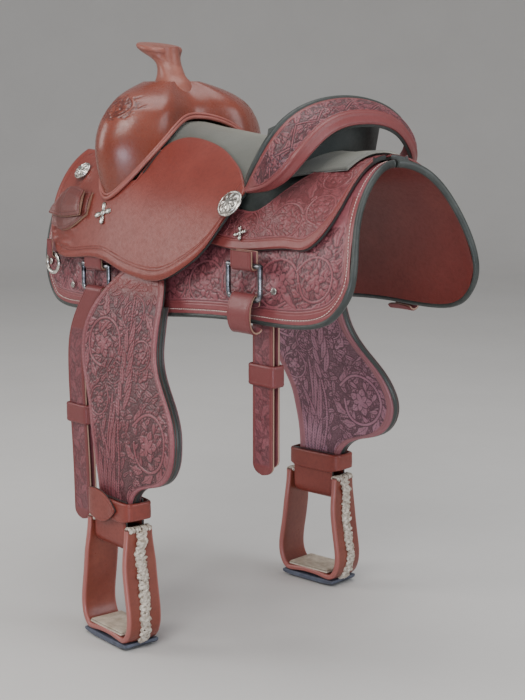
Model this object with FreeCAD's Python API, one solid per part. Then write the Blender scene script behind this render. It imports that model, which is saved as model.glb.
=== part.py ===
"""Western saddle, millimetres. -X is the horse's head, -Y the near (left) side, +Z up.

The origin is at the top of the channel under the saddle, over the horse's spine.
"""
import FreeCAD
import Part
import math
import os

V = FreeCAD.Vector

# ---- the horse's back: a barrel that every sheet of leather follows ----
BACK_HALF_WIDTH = 176.0        # outside of the skirts, widest place
BACK_WIDEST_X = 40.0
BACK_WIDTH_FALL = 75.0         # mm of length for the first mm of narrowing
BACK_SPRING_Z = -212.0         # below this height the sides hang straight down
BACK_TOP_Z = 9.3               # outside of the skirts at the lowest place of the back
BACK_LOWEST_X = 60.0
BACK_RISE_FRONT = 105.0
BACK_RISE_REAR = 64.0
DROP_PER_DEGREE = 4.0          # past 90 degrees a sheet hangs straight, this far per degree

# ---- thicknesses ----
SKIRT = 5.0
LINING = 4.0
GAP = 0.3                      # between curved faces of neighbours
JOCKEY = 8.0
REAR_JOCKEY = 8.0
REAR_JOCKEY_LIFT = 3.3
BAR_LOW, BAR_HIGH = 0.4, 9.6
STRAINER_LOW, STRAINER_HIGH = 12.4, 14.0
PAD_LOW = 15.0
BODY_LOW_OFFSET = 22.0         # how far the seat body stands off the skirts low on the sides
BODY_FALL_ANGLE = 30.0

# ---- fork, swell and horn ----
SWELL_X = -148.0
SWELL_SKIN = 5.0
NECK_BASE = V(-170, 0, 136)
NECK_LEAN = -10.0
NECK_HEIGHT = 66.0
NECK_RADIUS = 19.0
NECK_FOOT_RADIUS = 33.0
FLANGE_RADIUS = 30.0
WRAP = 4.0
CAP_RADIUS = 37.5
CAP_THICK = 9.0
CAP_TILT = 9.0
CAP_CENTRE = V(-203, 0, 204)
HORN_BOLT_RADIUS = 4.0
GULLET_RADIUS = 56.0

# ---- fenders and stirrups ----
FENDER_SKIN = 6.0
FENDER_CORE = 8.0
YAW_SLOPE = 0.08
YAW_X, YAW_Y = -10.0, -240.0
YAW_ANGLE = -math.degrees(math.atan(YAW_SLOPE))
STIRRUP_X = -36.5
STIRRUP_Y = -238.0
STIRRUP_TOP_Z = -572.0
STIRRUP_BOTTOM_Z = -765.0
STIRRUP_TOP_HALF = 61.0
STIRRUP_BOTTOM_HALF = 74.5
STIRRUP_DEPTH = 66.0
STIRRUP_ARM = 12.0
TREAD_BOARD = 12.0
TREAD_PAD = 6.0
TREAD_BASE = 10.0
BOLT_Z = -595.0
BOLT_RADIUS = 5.0
SLEEVE_RADIUS = 13.95
LOOP_RADIUS = 14.0
LOOP_LEATHER = 6.0
LOOP_HALF = 46.0
RUNNING_FIT = 0.05
STRAP = 5.0
HOBBLE_LEATHER = 5.0


# ---------------------------------------------------------------- helpers
def half_width(x):
    return BACK_HALF_WIDTH - ((x - BACK_WIDEST_X) / BACK_WIDTH_FALL) ** 2


def top_z(x):
    rise = BACK_RISE_REAR if x > BACK_LOWEST_X else BACK_RISE_FRONT
    return BACK_TOP_Z + ((x - BACK_LOWEST_X) / rise) ** 2


def on_back(x, angle, off):
    """Point of the near side at an angle from the spine, off outside the skirts' outer face."""
    turn = math.radians(min(abs(angle), 90.0))
    y = (half_width(x) + off) * math.sin(turn)
    z = BACK_SPRING_Z + (top_z(x) - BACK_SPRING_Z + off) * math.cos(turn)
    z -= DROP_PER_DEGREE * max(abs(angle) - 90.0, 0.0)
    return V(x, -math.copysign(y, angle), z)


def linear(points, value):
    """Straight-line interpolation through (value, result) pairs in rising order."""
    if value <= points[0][0]:
        return points[0][1]
    for (a, fa), (b, fb) in zip(points, points[1:]):
        if value <= b:
            return fa + (fb - fa) * (value - a) / (b - a)
    return points[-1][1]


def ease(t):
    t = max(0.0, min(1.0, t))
    return t * t * (3 - 2 * t)


def curve_points(points, count):
    """Points spread evenly along a smooth curve through a few hand-set points."""
    if len(points) == 2:
        (ax, ay), (bx, by) = points
        return [(ax + (bx - ax) * i / (count - 1), ay + (by - ay) * i / (count - 1)) for i in range(count)]
    curve = Part.BSplineCurve()
    curve.interpolate([V(a, b, 0) for a, b in points])
    first, last = curve.FirstParameter, curve.LastParameter
    steps = [curve.value(first + (last - first) * i / (count - 1)) for i in range(count)]
    return [(p.x, p.y) for p in steps]


def sheet(inner, outer):
    """Closed solid between two grids of points of the same size."""
    surfaces = []
    for grid in (inner, outer):
        surface = Part.BSplineSurface()
        surface.interpolate(grid)
        surfaces.append(surface)
    u0, u1, v0, v1 = surfaces[0].bounds()
    faces = [s.toShape() for s in surfaces]
    for cut in (("uIso", u0), ("uIso", u1), ("vIso", v0), ("vIso", v1)):
        edges = [getattr(s, cut[0])(cut[1]).toShape() for s in surfaces]
        faces.append(Part.makeRuledSurface(edges[0], edges[1]))
    shell = Part.makeShell(faces)
    shell.sewShape()
    solid = Part.makeSolid(shell)
    if solid.Volume < 0:
        solid.reverse()
    return solid


def patch(place, edge_a, edge_b, low, high, rows=26, across=12):
    """Sheet between two edge curves, from depth low to depth high; place() makes it 3D."""
    a = curve_points(edge_a, rows)
    b = curve_points(edge_b, rows)
    grids = []
    for depth in (low, high):
        grid = []
        for (pa, qa), (pb, qb) in zip(a, b):
            steps = [i / (across - 1) for i in range(across)]
            grid.append([place(pa + (pb - pa) * t, qa + (qb - qa) * t, depth) for t in steps])
        grids.append(grid)
    return sheet(grids[0], grids[1])


def back_patch(edge_a, edge_b, low, high, rows=26, across=12):
    """Patch on the horse's back; low and high are offsets or functions of (x, angle)."""
    def offset(depth, x, angle):
        return depth(x, angle) if callable(depth) else depth

    def place(x, angle, depth):
        return on_back(x, angle, offset(depth, x, angle))
    return patch(place, edge_a, edge_b, low, high, rows, across)


def mirrored(shape):
    return shape.mirror(V(0, 0, 0), V(0, 1, 0))


def both(shape):
    return Part.makeCompound([shape, mirrored(shape)])


def box(x0, x1, y0, y1, z0, z1):
    return Part.makeBox(x1 - x0, y1 - y0, z1 - z0, V(x0, y0, z0))


def surface_frame(x, angle, off):
    """Point and outward normal on the near side of the back."""
    point = on_back(x, angle, off)
    down = (on_back(x, angle + 0.5, off) - on_back(x, angle - 0.5, off)).normalize()
    along = (on_back(x + 1, angle, off) - on_back(x - 1, angle, off)).normalize()
    normal = along.cross(down).normalize()
    if normal.y > 0:
        normal = normal.negative()
    return point, normal


def stand_on(shape, point, normal):
    """Moves a shape made on +Z at the origin so that it stands on a point along a normal."""
    shape = shape.copy()
    shape.Placement = FreeCAD.Placement(point, FreeCAD.Rotation(V(0, 0, 1), normal))
    return shape


def export(name, shape):
    shape.exportStep("parts/%s.step" % name)
    size = shape.BoundBox
    good = all(s.isValid() for s in shape.Solids)
    print(name, len(shape.Solids), good, round(shape.Volume / 1000, 1), "cm3",
          [round(v) for v in (size.XMin, size.XMax, size.YMin, size.YMax, size.ZMin, size.ZMax)])


def export_pair(name, shape):
    export(name + "_left", shape)
    export(name + "_right", mirrored(shape))


# ---------------------------------------------------------------- body of the seat
RIDGE = [(-300, 14), (-255, 20), (-205, 50), (-123, 69), (-60, 60), (67, 47.5), (150, 35), (238, 22), (330, 13)]


def body_offset(x, angle):
    """Outer face of the built-up seat body, measured off the skirts."""
    ridge = linear(RIDGE, x)
    low = min(BODY_LOW_OFFSET, ridge)
    return low + (ridge - low) / (1 + (abs(angle) / BODY_FALL_ANGLE) ** 3)


def above_body(extra):
    return lambda x, angle: body_offset(x, angle) + extra


# ---------------------------------------------------------------- skirts
SKIRT_TOP = [(-362, 24), (-270, 22), (-180, 22), (-120, 17), (-60, 4), (0, 1), (120, 1), (240, 1), (352, 1)]
SKIRT_BOTTOM = [(-352, 76), (-333, 90), (-295, 96.5), (-240, 97), (-137, 96.5), (54, 92), (200, 90),
                (300, 90), (355, 87.5), (384, 82), (400, 73)]


def skirt_outline(out):
    """Rear, bottom and front edge of a skirt as (x, angle), moved outwards by out millimetres."""
    rear = [(352 + 48 * t, 1 + 72 * t) for t in (0.0, 0.35, 0.7)]
    front = [(-352 - 10 * t, 76 - 52 * t) for t in (0.3, 0.65, 1.0)]
    path = rear + list(reversed(SKIRT_BOTTOM)) + front
    moved = []
    for i, (x, angle) in enumerate(path):
        ax, aa = path[max(i - 1, 0)]
        bx, ba = path[min(i + 1, len(path) - 1)]
        dx, dy = bx - ax, (ba - aa) * DROP_PER_DEGREE
        length = math.hypot(dx, dy)
        moved.append((x + out * dy / length, angle - out * dx / length / DROP_PER_DEGREE))
    return moved


def make_skirts():
    skirt = back_patch(SKIRT_TOP, SKIRT_BOTTOM, -SKIRT, 0.0, rows=40)
    lining = back_patch(SKIRT_TOP, SKIRT_BOTTOM, -SKIRT - GAP - LINING, -SKIRT - GAP, rows=40)
    binding = back_patch(skirt_outline(1.0), skirt_outline(4.8), -SKIRT - GAP - LINING, 0.6, rows=70, across=3)
    binding = binding.cut(back_patch(SKIRT_TOP, SKIRT_BOTTOM, -SKIRT - GAP - LINING - 1, 1.5, rows=40))
    binding = max(binding.Solids, key=lambda s: s.Volume)
    export_pair("skirt", skirt)
    export("skirt_linings", both(lining))
    export("skirt_bindings", both(binding))


# ---------------------------------------------------------------- tree
def make_tree():
    bar_top = [(-318, 14), (-150, 14), (60, 14), (300, 14)]
    bar_bottom = [(-318, 40), (-270, 46), (0, 48), (240, 46), (300, 38)]
    export("tree_bars", both(back_patch(bar_top, bar_bottom, BAR_LOW, BAR_HIGH)))
    strainer = back_patch([(-70, -32), (170, -32)], [(-70, 32), (170, 32)], STRAINER_LOW, STRAINER_HIGH,
                          rows=12, across=14)
    export("seat_strainer", strainer)


# height, half width and half depth of the swell's level sections
SWELL_LEVELS = [(-62, 156, 56), (-30, 166, 70), (5, 174, 79), (40, 177, 81), (80, 165, 79), (98, 152, 74),
                (117, 130, 64), (134, 94, 50), (146, 54, 40)]
SWELL_WAIST = 0.5
SWELL_LEAN_Z = 95.0
SWELL_LEAN = 0.009


def swell_row(z, half_y, half_x, shrink):
    """Level section of the swell: an oval with a waist on its rear side."""
    centre = SWELL_X - SWELL_LEAN * max(z - SWELL_LEAN_Z, 0.0) ** 2
    level = z - 0.6 * shrink * ease((z - 80) / 20)
    row = []
    for i in range(41):
        turn = math.pi + 2 * math.pi * (i % 40) / 40
        y = (half_y - shrink) * math.sin(turn)
        reach = (half_x - shrink) * math.cos(turn)
        if reach > 0:
            reach *= SWELL_WAIST + (1 - SWELL_WAIST) * ease(abs(y) / (0.62 * half_y))
        row.append(V(centre + reach, y, level))
    return row


def swell_solid(shrink):
    """The swell's body, moved inwards by shrink."""
    spine = Part.BSplineCurve()
    spine.interpolate([V(half_y, half_x, z) for z, half_y, half_x in SWELL_LEVELS])
    first, last = spine.FirstParameter, spine.LastParameter
    levels = [spine.value(first + (last - first) * i / 24) for i in range(25)]
    surface = Part.BSplineSurface()
    surface.interpolate([swell_row(p.z, p.x, p.y, shrink) for p in levels])
    ends = [Part.Face(Part.Wire([surface.uIso(u).toShape()])) for u in surface.bounds()[:2]]
    shell = Part.makeShell([surface.toShape()] + ends)
    shell.sewShape()
    solid = Part.makeSolid(shell)
    if solid.Volume < 0:
        solid.reverse()
    return solid


def under_body(extra, x0=-330, x1=40):
    """Everything below a surface that runs a set height over the seat body."""
    edge_a = [(x0, -88), (x1, -88)]
    edge_b = [(x0, 88), (x1, 88)]
    return back_patch(edge_a, edge_b, -40.0, above_body(extra), rows=14, across=40)


def gullet(radius, length):
    """Open arch under the fork, over the horse's withers."""
    tall = Part.makeCylinder(radius, length, V(-300, 0, 0), V(1, 0, 0))
    return tall.fuse(box(-300, -300 + length, -radius, radius, -90, 0))


def make_fork(swell_outer):
    inner = swell_solid(SWELL_SKIN + GAP)
    lid = under_body(JOCKEY + 2 * GAP)
    cover = swell_outer.cut(swell_solid(SWELL_SKIN)).cut(lid)
    cover = cover.cut(gullet(GULLET_RADIUS, 150.0)).cut(horn_neck(GAP)).cut(flange(GAP))
    export("swell_cover", max(cover.Solids, key=lambda s: s.Volume))
    welt = swell_solid(-5.0).cut(swell_solid(-GAP)).cut(lid).common(under_body(JOCKEY + 10.0))
    export("swell_welt", max(welt.Solids, key=lambda s: s.Volume))
    head = inner.cut(under_body(JOCKEY + 3.0))
    foot = Part.makeCylinder(1.0, 202.0, V(0, 0, -140))
    matrix = FreeCAD.Matrix()
    matrix.scale(52.0, 118.0, 1.0)
    foot = foot.transformGeometry(matrix)
    foot.translate(V(SWELL_X - 17, 0, 0))
    foot = foot.cut(back_patch([(-330, -80), (40, -80)], [(-330, 80), (40, 80)], -40.0, BAR_HIGH + GAP,
                               rows=14, across=40))
    foot = max(foot.Solids, key=lambda s: s.CenterOfMass.z)
    head = max(head.Solids, key=lambda s: s.Volume)
    fork = head.fuse(foot)
    tunnel = gullet(GULLET_RADIUS, 260.0)
    fork = fork.cut(tunnel)
    plate = box(-205, -118, -36, 36, 96, 102)
    holes = [V(-190, -24, 0), V(-190, 24, 0), V(-134, -24, 0), V(-134, 24, 0)]
    bolts = []
    for hole in holes:
        shaft = Part.makeCylinder(HORN_BOLT_RADIUS, 40, hole + V(0, 0, 64))
        bolt_head = Part.makeCylinder(2 * HORN_BOLT_RADIUS, 4.5, hole + V(0, 0, 102))
        bolts.append(shaft.fuse(bolt_head))
    pocket = box(-206, -117, -37, 37, 95.7, 160)
    fork = fork.cut(pocket)
    for hole in holes:
        bore = Part.makeCylinder(HORN_BOLT_RADIUS + RUNNING_FIT, 60, hole + V(0, 0, 58))
        fork = fork.cut(bore)
        plate = plate.cut(bore)
    fork = fork.cut(horn_space())
    export("fork", fork)
    export("horn_bolts", Part.makeCompound(bolts))
    export("gullet_plate", plate)


def lean(shape, base, angle):
    shape = shape.copy()
    shape.rotate(base, V(0, 1, 0), angle)
    return shape


def horn_neck(extra):
    """Solid of revolution for the horn's neck, leaned forward."""
    foot = NECK_FOOT_RADIUS + extra
    neck = NECK_RADIUS + extra
    profile = Part.BSplineCurve()
    profile.interpolate([V(foot, 0, 0), V(neck + 4, 0, 18), V(neck, 0, 36), V(neck + 1.5, 0, NECK_HEIGHT)])
    edges = [profile.toShape(),
             Part.makeLine(V(neck + 1.5, 0, NECK_HEIGHT), V(0, 0, NECK_HEIGHT)),
             Part.makeLine(V(0, 0, NECK_HEIGHT), V(0, 0, 0)),
             Part.makeLine(V(0, 0, 0), V(foot, 0, 0))]
    solid = Part.Face(Part.Wire(edges)).revolve(V(0, 0, 0), V(0, 0, 1), 360)
    solid.translate(NECK_BASE)
    return lean(solid, NECK_BASE, NECK_LEAN)


def horn_space():
    """Room in the fork for the horn's foot."""
    return Part.makeCylinder(NECK_FOOT_RADIUS + WRAP + 6, 80, NECK_BASE - V(0, 0, 22))


def flange(extra):
    """Disc under the neck that is screwed down on the plate."""
    return Part.makeCylinder(FLANGE_RADIUS + extra, 38.0, V(-168, 0, 104))


def cap_disc(radius, low, high):
    disc = Part.makeCylinder(radius, high - low, V(0, 0, low))
    disc = disc.makeFillet(min(3.5, (high - low) * 0.35), [disc.Edges[0], disc.Edges[2]])
    disc.translate(CAP_CENTRE)
    return lean(disc, CAP_CENTRE, CAP_TILT)


def make_horn(swell_outer):
    core = horn_neck(0.0).fuse(flange(0.0))
    core_cap = cap_disc(CAP_RADIUS - 4, -CAP_THICK, -1.0)
    core = core.fuse(core_cap)
    core = core.cut(box(-300, 0, -60, 60, 0, 107.0))
    wrap = horn_neck(WRAP).cut(horn_neck(GAP)).cut(core)
    cap = cap_disc(CAP_RADIUS, -CAP_THICK - 3, 4.0)
    wrap = wrap.cut(cap)
    cap = cap.cut(core).cut(horn_neck(WRAP + GAP))
    cap = max(cap.Solids, key=lambda s: s.Volume)
    wrap = max(wrap.Solids, key=lambda s: s.Volume)
    wrap = wrap.cut(swell_outer)
    wrap = max(wrap.Solids, key=lambda s: s.Volume)
    export("horn_core", core)
    export("horn_wrap", wrap)
    export("horn_cap", cap)


# ---------------------------------------------------------------- cantle
# near half of the cantle's rim and of the roll's rear edge, from the centre to the tip
RIM = [(247, 0, 124), (247, -55, 119), (247, -100, 106), (246, -137, 84), (240, -161, 56), (222, -168, 24),
       (198, -158, 4), (176, -144, -9)]
ROLL_EDGE = [(293, 0, 86), (293, -45, 82), (292, -80, 69), (288, -108, 47), (280, -128, 24), (262, -138, 2),
             (232, -142, -14), (196, -146, -20)]


def smooth_3d(points, count):
    """Smooth curve across both sides, from the near tip over the centre to the far tip."""
    near = [V(*p) for p in points]
    far = [V(p.x, -p.y, p.z) for p in near[1:]]
    curve = Part.BSplineCurve()
    curve.interpolate(list(reversed(near)) + far)
    first, last = curve.FirstParameter, curve.LastParameter
    return [curve.value(first + (last - first) * i / (count - 1)) for i in range(count)]


def make_cantle():
    count = 41
    rim = smooth_3d(RIM, count)
    edge = smooth_3d(ROLL_EDGE, count)
    across = 9
    bulge = 9.0
    thick = 9.0
    inner, outer = [], []
    for i in range(count):
        a, b = rim[i], edge[i]
        tangent = (rim[min(i + 1, count - 1)] - rim[max(i - 1, 0)]).normalize()
        out = tangent.cross(b - a).normalize()
        if out.dot(V(0.35, 0, 1.0) + V(0, a.y, 0) * 0.02) < 0:
            out = out.negative()
        row_in, row_out = [], []
        for j in range(across):
            t = j / (across - 1)
            arch = bulge * math.sin(math.pi * t)
            middle = a + (b - a) * t
            row_out.append(middle + out * arch)
            row_in.append(middle + out * (arch - thick))
        inner.append(row_in)
        outer.append(row_out)
    roll = sheet(inner, outer)
    export("cantle_roll", roll)
    # the board stands on the bars, leaning back, with the seat body passing through below it
    columns = 25
    half = 118.0

    def board(front, back, top_gap, foot):
        low, high = [], []
        for i in range(columns):
            y = -half + 2 * half * i / (columns - 1)
            top = 106.0 * math.sqrt(max(0.0, 1 - (y / 172.0) ** 2)) - top_gap
            bottom = foot(y)
            row_low, row_high = [], []
            for j in range(6):
                z = bottom + (top - bottom) * j / 5
                dish = -34.0 * (y / half) ** 2
                x = 226.0 + dish + 0.22 * (z - 20.0)
                row_low.append(V(x + front, y, z))
                row_high.append(V(x + back, y, z))
            low.append(row_low)
            high.append(row_high)
        return sheet(low, high)

    def pad_top(y):
        angle = math.degrees(math.asin(min(1.0, abs(y) / (half_width(225) + 24))))
        return on_back(225, angle, body_offset(225, angle) + 1.5).z

    plate = board(-6.0, 6.0, 0.0, pad_top)
    export("cantle_board", plate)
    export("cantle_back", board(6.0 + GAP, 9.3, 0.0, pad_top))


# ---------------------------------------------------------------- seat and jockeys
def make_seat(swell_outer):
    near = [(-112, -34), (0, -34), (160, -34), (205, -28), (325, -25)]
    far = [(x, -angle) for x, angle in near]
    pad = back_patch(near, far, PAD_LOW, pad_face, rows=40, across=25)
    pad = pad.cut(swell_outer)
    # behind the cantle the rear jockeys reach in under the cushion
    jockey_top = [(x, angle - 0.5) for x, angle in REAR_TOP]
    room = back_patch(jockey_top, REAR_BOTTOM, 0.0, lambda x, a: rear_offset(x, a) + REAR_JOCKEY + GAP)
    pad = pad.cut(both(room))
    pad = max(pad.Solids, key=lambda s: s.Volume)
    export("seat_pad", pad)


def pad_face(x, angle):
    return max(body_offset(x, angle), PAD_LOW + 4.0)


JOCKEY_TOP = [(160, 40), (130, 32), (95, 26), (55, 21), (9, 18), (-31, 17.5), (-58, 20), (-78, 29), (-84, 37),
              (-102, 42), (-128, 44.5), (-168, 43), (-204, 38), (-226, 29), (-242, 24), (-252, 21)]
JOCKEY_BOTTOM = [(164, 42), (150, 52), (131, 63), (111, 69), (82, 74), (50, 78), (12, 80), (-30, 79.5),
                 (-73, 78), (-130, 75), (-205, 76), (-270, 76), (-312, 68), (-334, 50), (-336, 34), (-330, 21)]
REAR_TOP = [(96, 46), (150, 46), (195, 46), (232, 36), (262, 24), (300, 9), (340, 2)]
REAR_BOTTOM = [(96, 61), (150, 63), (215, 63), (285, 62), (330, 59), (352, 46), (344, 12)]


def rear_offset(x, angle):
    """Lower face of the rear jockey: over the bar it rides higher."""
    over_bar = ease((60 - angle) / 10.0) * ease((angle - 3) / 10.0) * ease((324 - x) / 20.0)
    return REAR_JOCKEY_LIFT + (BAR_HIGH - REAR_JOCKEY_LIFT + 2 * GAP) * over_bar


def make_jockeys():
    low, high = above_body(GAP), above_body(GAP + JOCKEY)
    jockey = back_patch(JOCKEY_TOP, JOCKEY_BOTTOM, low, high, rows=48, across=16)
    export_pair("seat_jockey", jockey)
    rear = back_patch(REAR_TOP, REAR_BOTTOM, rear_offset, lambda x, a: rear_offset(x, a) + REAR_JOCKEY,
                      rows=40, across=14)
    export_pair("rear_jockey", rear)


# ---------------------------------------------------------------- rings and their straps
def ring_bar(points, radius):
    """Closed round-bar ring through corner points, made of cylinders and balls."""
    shape = None
    for a, b in zip(points, points[1:] + points[:1]):
        bar = Part.makeCylinder(radius, (b - a).Length, a, b - a).fuse(Part.makeSphere(radius, a))
        shape = bar if shape is None else shape.fuse(bar)
    return shape.removeSplitter()


DEE_BAR = 4.0
DEE_CORNER = 10.0
FRONT_DEE = {"x": -161.0, "z": -160.0, "out": 180.0, "half": 35.0, "drop": 44.0}
REAR_DEE = {"x": 214.0, "z": -126.0, "out": 183.0, "half": 36.0, "drop": 52.0}
BREAST_RING = {"x": -293.0, "z": -168.0, "out": 174.0, "radius": 17.0, "bar": 3.5}
STRAP_WIDTH = 45.0
FOLD_RADIUS = DEE_BAR + RUNNING_FIT


def dee(place):
    """Rigging ring: straight bars on top and below, rounded ends; hangs in the XZ plane."""
    x, z, half, drop = place["x"], place["z"], place["half"], place["drop"]
    y = -place["out"]
    points = [V(x - half, y, z), V(x + half, y, z)]
    for side in (1, -1):
        corner = V(x + side * (half - DEE_CORNER), y, z - drop + DEE_CORNER)
        turns = [math.pi / 8 * i for i in range(5)]
        for turn in (turns if side > 0 else reversed(turns)):
            points.append(corner + V(side * DEE_CORNER * math.cos(turn), 0, -DEE_CORNER * math.sin(turn)))
    return ring_bar(points, DEE_BAR)


def wrap_strap(x, z, out, half, top, inner_radius, thick):
    """Strap that folds round a bar along X: two runs going up from the bar, joined under it."""
    outer = inner_radius + thick
    roll = Part.makeCylinder(outer, 2 * half, V(x - half, -out, z), V(1, 0, 0))
    body = roll.fuse(box(x - half, x + half, -out - outer, -out + outer, z, top))
    hollow = Part.makeCylinder(inner_radius, 2 * half + 2, V(x - half - 1, -out, z), V(1, 0, 0))
    slot = box(x - half - 1, x + half + 1, -out - inner_radius, -out + inner_radius, z, z + inner_radius)
    return body.cut(hollow).cut(slot)


def strap_run(centre_line, width, out_low, out_high):
    """Hanging run of a strap along a centre line in the XZ plane, with a rounded tip."""
    tip_x, tip_z = centre_line[-1]
    body_line = centre_line[:-1] + [(tip_x, tip_z + 16)]
    front = [(x - width / 2, z) for x, z in body_line] + [(tip_x - width * 0.36, tip_z + 5), (tip_x - 8, tip_z)]
    rear = [(x + width / 2, z) for x, z in body_line] + [(tip_x + width * 0.36, tip_z + 5), (tip_x + 8, tip_z)]

    def place(x, z, depth):
        return V(x, -depth, z)
    return patch(place, front, rear, out_low, out_high, rows=40, across=4)


def folded_strap(bar_x, bar_z, out, centre_line, width):
    """Strap folded over a bar along X, both ends hanging; the outer end is the longer one."""
    start = [(bar_x, bar_z)]
    shorter = centre_line[:-1] + [(centre_line[-1][0], centre_line[-1][1] + 8)]
    low, high = FOLD_RADIUS, FOLD_RADIUS + STRAP
    outer_run = strap_run(start + centre_line, width, out + low, out + high)
    inner_run = strap_run(start + shorter, width, out - high, out - low)
    roll = Part.makeCylinder(high, width, V(bar_x - width / 2, -out, bar_z), V(1, 0, 0))
    roll = roll.common(box(bar_x - width, bar_x + width, -out - 40, -out + 40, bar_z - 0.5, bar_z + 40))
    hollow = Part.makeCylinder(low, width + 2, V(bar_x - width / 2 - 1, -out, bar_z), V(1, 0, 0))
    roll = roll.cut(hollow)
    roll = roll.cut(box(bar_x - width, bar_x + width, -out - low, -out + low, bar_z - 2, bar_z))
    return roll.fuse(outer_run).fuse(inner_run)


KEEPER_LEATHER = 4.0


def keeper(x, z, out, width, length):
    """Closed leather loop round a hanging folded strap."""
    half_y = FOLD_RADIUS + STRAP + 1.0
    half_x = width / 2 + 3.0
    t = KEEPER_LEATHER
    wide, deep, tall = half_x + t, half_y + t, length / 2
    outer = box(x - wide, x + wide, -out - deep, -out + deep, z - tall, z + tall)
    return outer.cut(box(x - half_x, x + half_x, -out - half_y, -out + half_y, z - length, z + length))


def make_rings():
    export_pair("front_dee", dee(FRONT_DEE))
    export_pair("rear_dee", dee(REAR_DEE))
    straps = []
    for place, top in ((FRONT_DEE, -140.0), (REAR_DEE, -106.0)):
        straps.append(wrap_strap(place["x"], place["z"], place["out"], 23.0, top, FOLD_RADIUS, STRAP))
    ring = BREAST_RING
    torus = Part.makeTorus(ring["radius"], ring["bar"], V(ring["x"], -ring["out"], ring["z"]), V(0, 1, 0))
    export_pair("breast_ring", torus)
    top = ring["z"] + ring["radius"]
    straps.append(wrap_strap(ring["x"], top - 0.8, ring["out"], 7.0, top + 22, ring["bar"] + 2.1, 3.5))
    jockey_edge = [(x, angle + 0.3) for x, angle in JOCKEY_BOTTOM]
    room = back_patch(JOCKEY_TOP, jockey_edge, above_body(0.0), above_body(JOCKEY + 12.0), rows=48, across=16)
    straps = [max(strap.cut(room).Solids, key=lambda s: s.Volume) for strap in straps]
    export("ring_straps", both(Part.makeCompound(straps)))


LATIGO_X = -161.0
LATIGO_LINE = [(-187, -240), (-208, -285), (-214, -345), (-211, -420), (-206, -500), (-203, -613)]
LATIGO_KEEPER_Z = -424.0
BILLET_BAR = {"x": 225.0, "z": -200.0, "out": 147.0}
BILLET_LINE = [(225, -260), (225, -350), (225, -415), (225, -458)]
BILLET_KEEPER_Z = -299.0


def make_straps():
    bar_z = FRONT_DEE["z"] - FRONT_DEE["drop"]
    out = FRONT_DEE["out"]
    export("latigo", folded_strap(LATIGO_X, bar_z, out, LATIGO_LINE, STRAP_WIDTH))
    export("latigo_keeper", keeper(-210.8, LATIGO_KEEPER_Z, out, STRAP_WIDTH, 34.0))
    x, bar_z, out = BILLET_BAR["x"], BILLET_BAR["z"], BILLET_BAR["out"]
    export("rear_billet", folded_strap(x, bar_z, out, BILLET_LINE, STRAP_WIDTH))
    export("billet_keeper", keeper(x, BILLET_KEEPER_Z, out, STRAP_WIDTH, 34.0))
    reach = STRAP_WIDTH / 2 + 7.0
    bar = Part.makeCylinder(DEE_BAR, 2 * reach, V(x - reach, -out, bar_z), V(1, 0, 0))
    for side in (-1, 1):
        foot_x = x + side * (reach - 3.0)
        back = on_back(foot_x, 88, -SKIRT - GAP - LINING).y + 0.6
        bar = bar.fuse(box(foot_x - 3, foot_x + 3, back, -out, bar_z - 5, bar_z + 5))
    export("billet_bar", bar)


# ---------------------------------------------------------------- fenders
FENDER_MIDDLE = [(-640, 240), (-560, 240), (-535, 240.5), (-480, 243), (-422, 242), (-360, 231), (-300, 219),
                 (-230, 204), (-185, 188), (-165, 180), (-150, 174), (-110, 159), (-70, 140)]
FENDER_FRONT = [(-52, -76), (-52, -110), (-56, -138), (-78, -160), (-112, -192), (-140, -232), (-155, -275),
                (-150, -315), (-128, -360), (-104, -410), (-90, -460), (-80, -510), (-78, -545)]
FENDER_REAR = [(8, -76), (8, -110), (14, -138), (26, -160), (40, -196), (47, -240), (54, -284), (76, -322),
               (112, -362), (134, -402), (136, -440), (116, -472), (80, -489), (46, -500), (22, -520), (14, -545)]
FENDER_INNER_TOP = -210.0       # core and lining stop here, under the seat jockey only the face goes on
FENDER_STACK = FENDER_SKIN + FENDER_CORE + FENDER_SKIN + 2 * GAP


def fender_place(x, z, depth):
    """Point of the near fender; depth counts outwards from its middle surface."""
    turned = YAW_SLOPE * (x - YAW_X) * ease((-170 - z) / 200)
    return V(x, -(linear(FENDER_MIDDLE, z) + turned + depth), z)


def smooth_fender_place(x, z, depth):
    spread = (-12.0, -6.0, 0.0, 6.0, 12.0)
    points = [fender_place(x, z + d, depth) for d in spread]
    return V(x, sum(p.y for p in points) / len(points), z)


def clip_below(points, top):
    """Part of an edge curve that lies below a height, starting at that height."""
    kept = [p for p in points if p[1] < top - 4]
    before = [p for p in points if p[1] >= top - 4][-1]
    after = kept[0]
    t = (top - before[1]) / (after[1] - before[1])
    return [(before[0] + (after[0] - before[0]) * t, top)] + kept


def make_fenders():
    half = FENDER_STACK / 2
    face = patch(smooth_fender_place, FENDER_FRONT, FENDER_REAR, half - FENDER_SKIN, half, rows=60, across=10)
    export_pair("fender", face)
    front = clip_below(FENDER_FRONT, FENDER_INNER_TOP)
    rear = clip_below(FENDER_REAR, FENDER_INNER_TOP)
    core = patch(smooth_fender_place, front, rear, -FENDER_CORE / 2, FENDER_CORE / 2, rows=54, across=10)
    export_pair("fender_core", core)
    inner = patch(smooth_fender_place, front, rear, -half, -half + FENDER_SKIN, rows=54, across=10)
    export_pair("fender_lining", inner)


# ---------------------------------------------------------------- stirrups
def turned_down(shape):
    """Turns a shape made square to the saddle into the line of the near fender."""
    shape = shape.copy()
    shape.rotate(V(YAW_X, YAW_Y, 0), V(0, 0, 1), YAW_ANGLE)
    return shape


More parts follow.
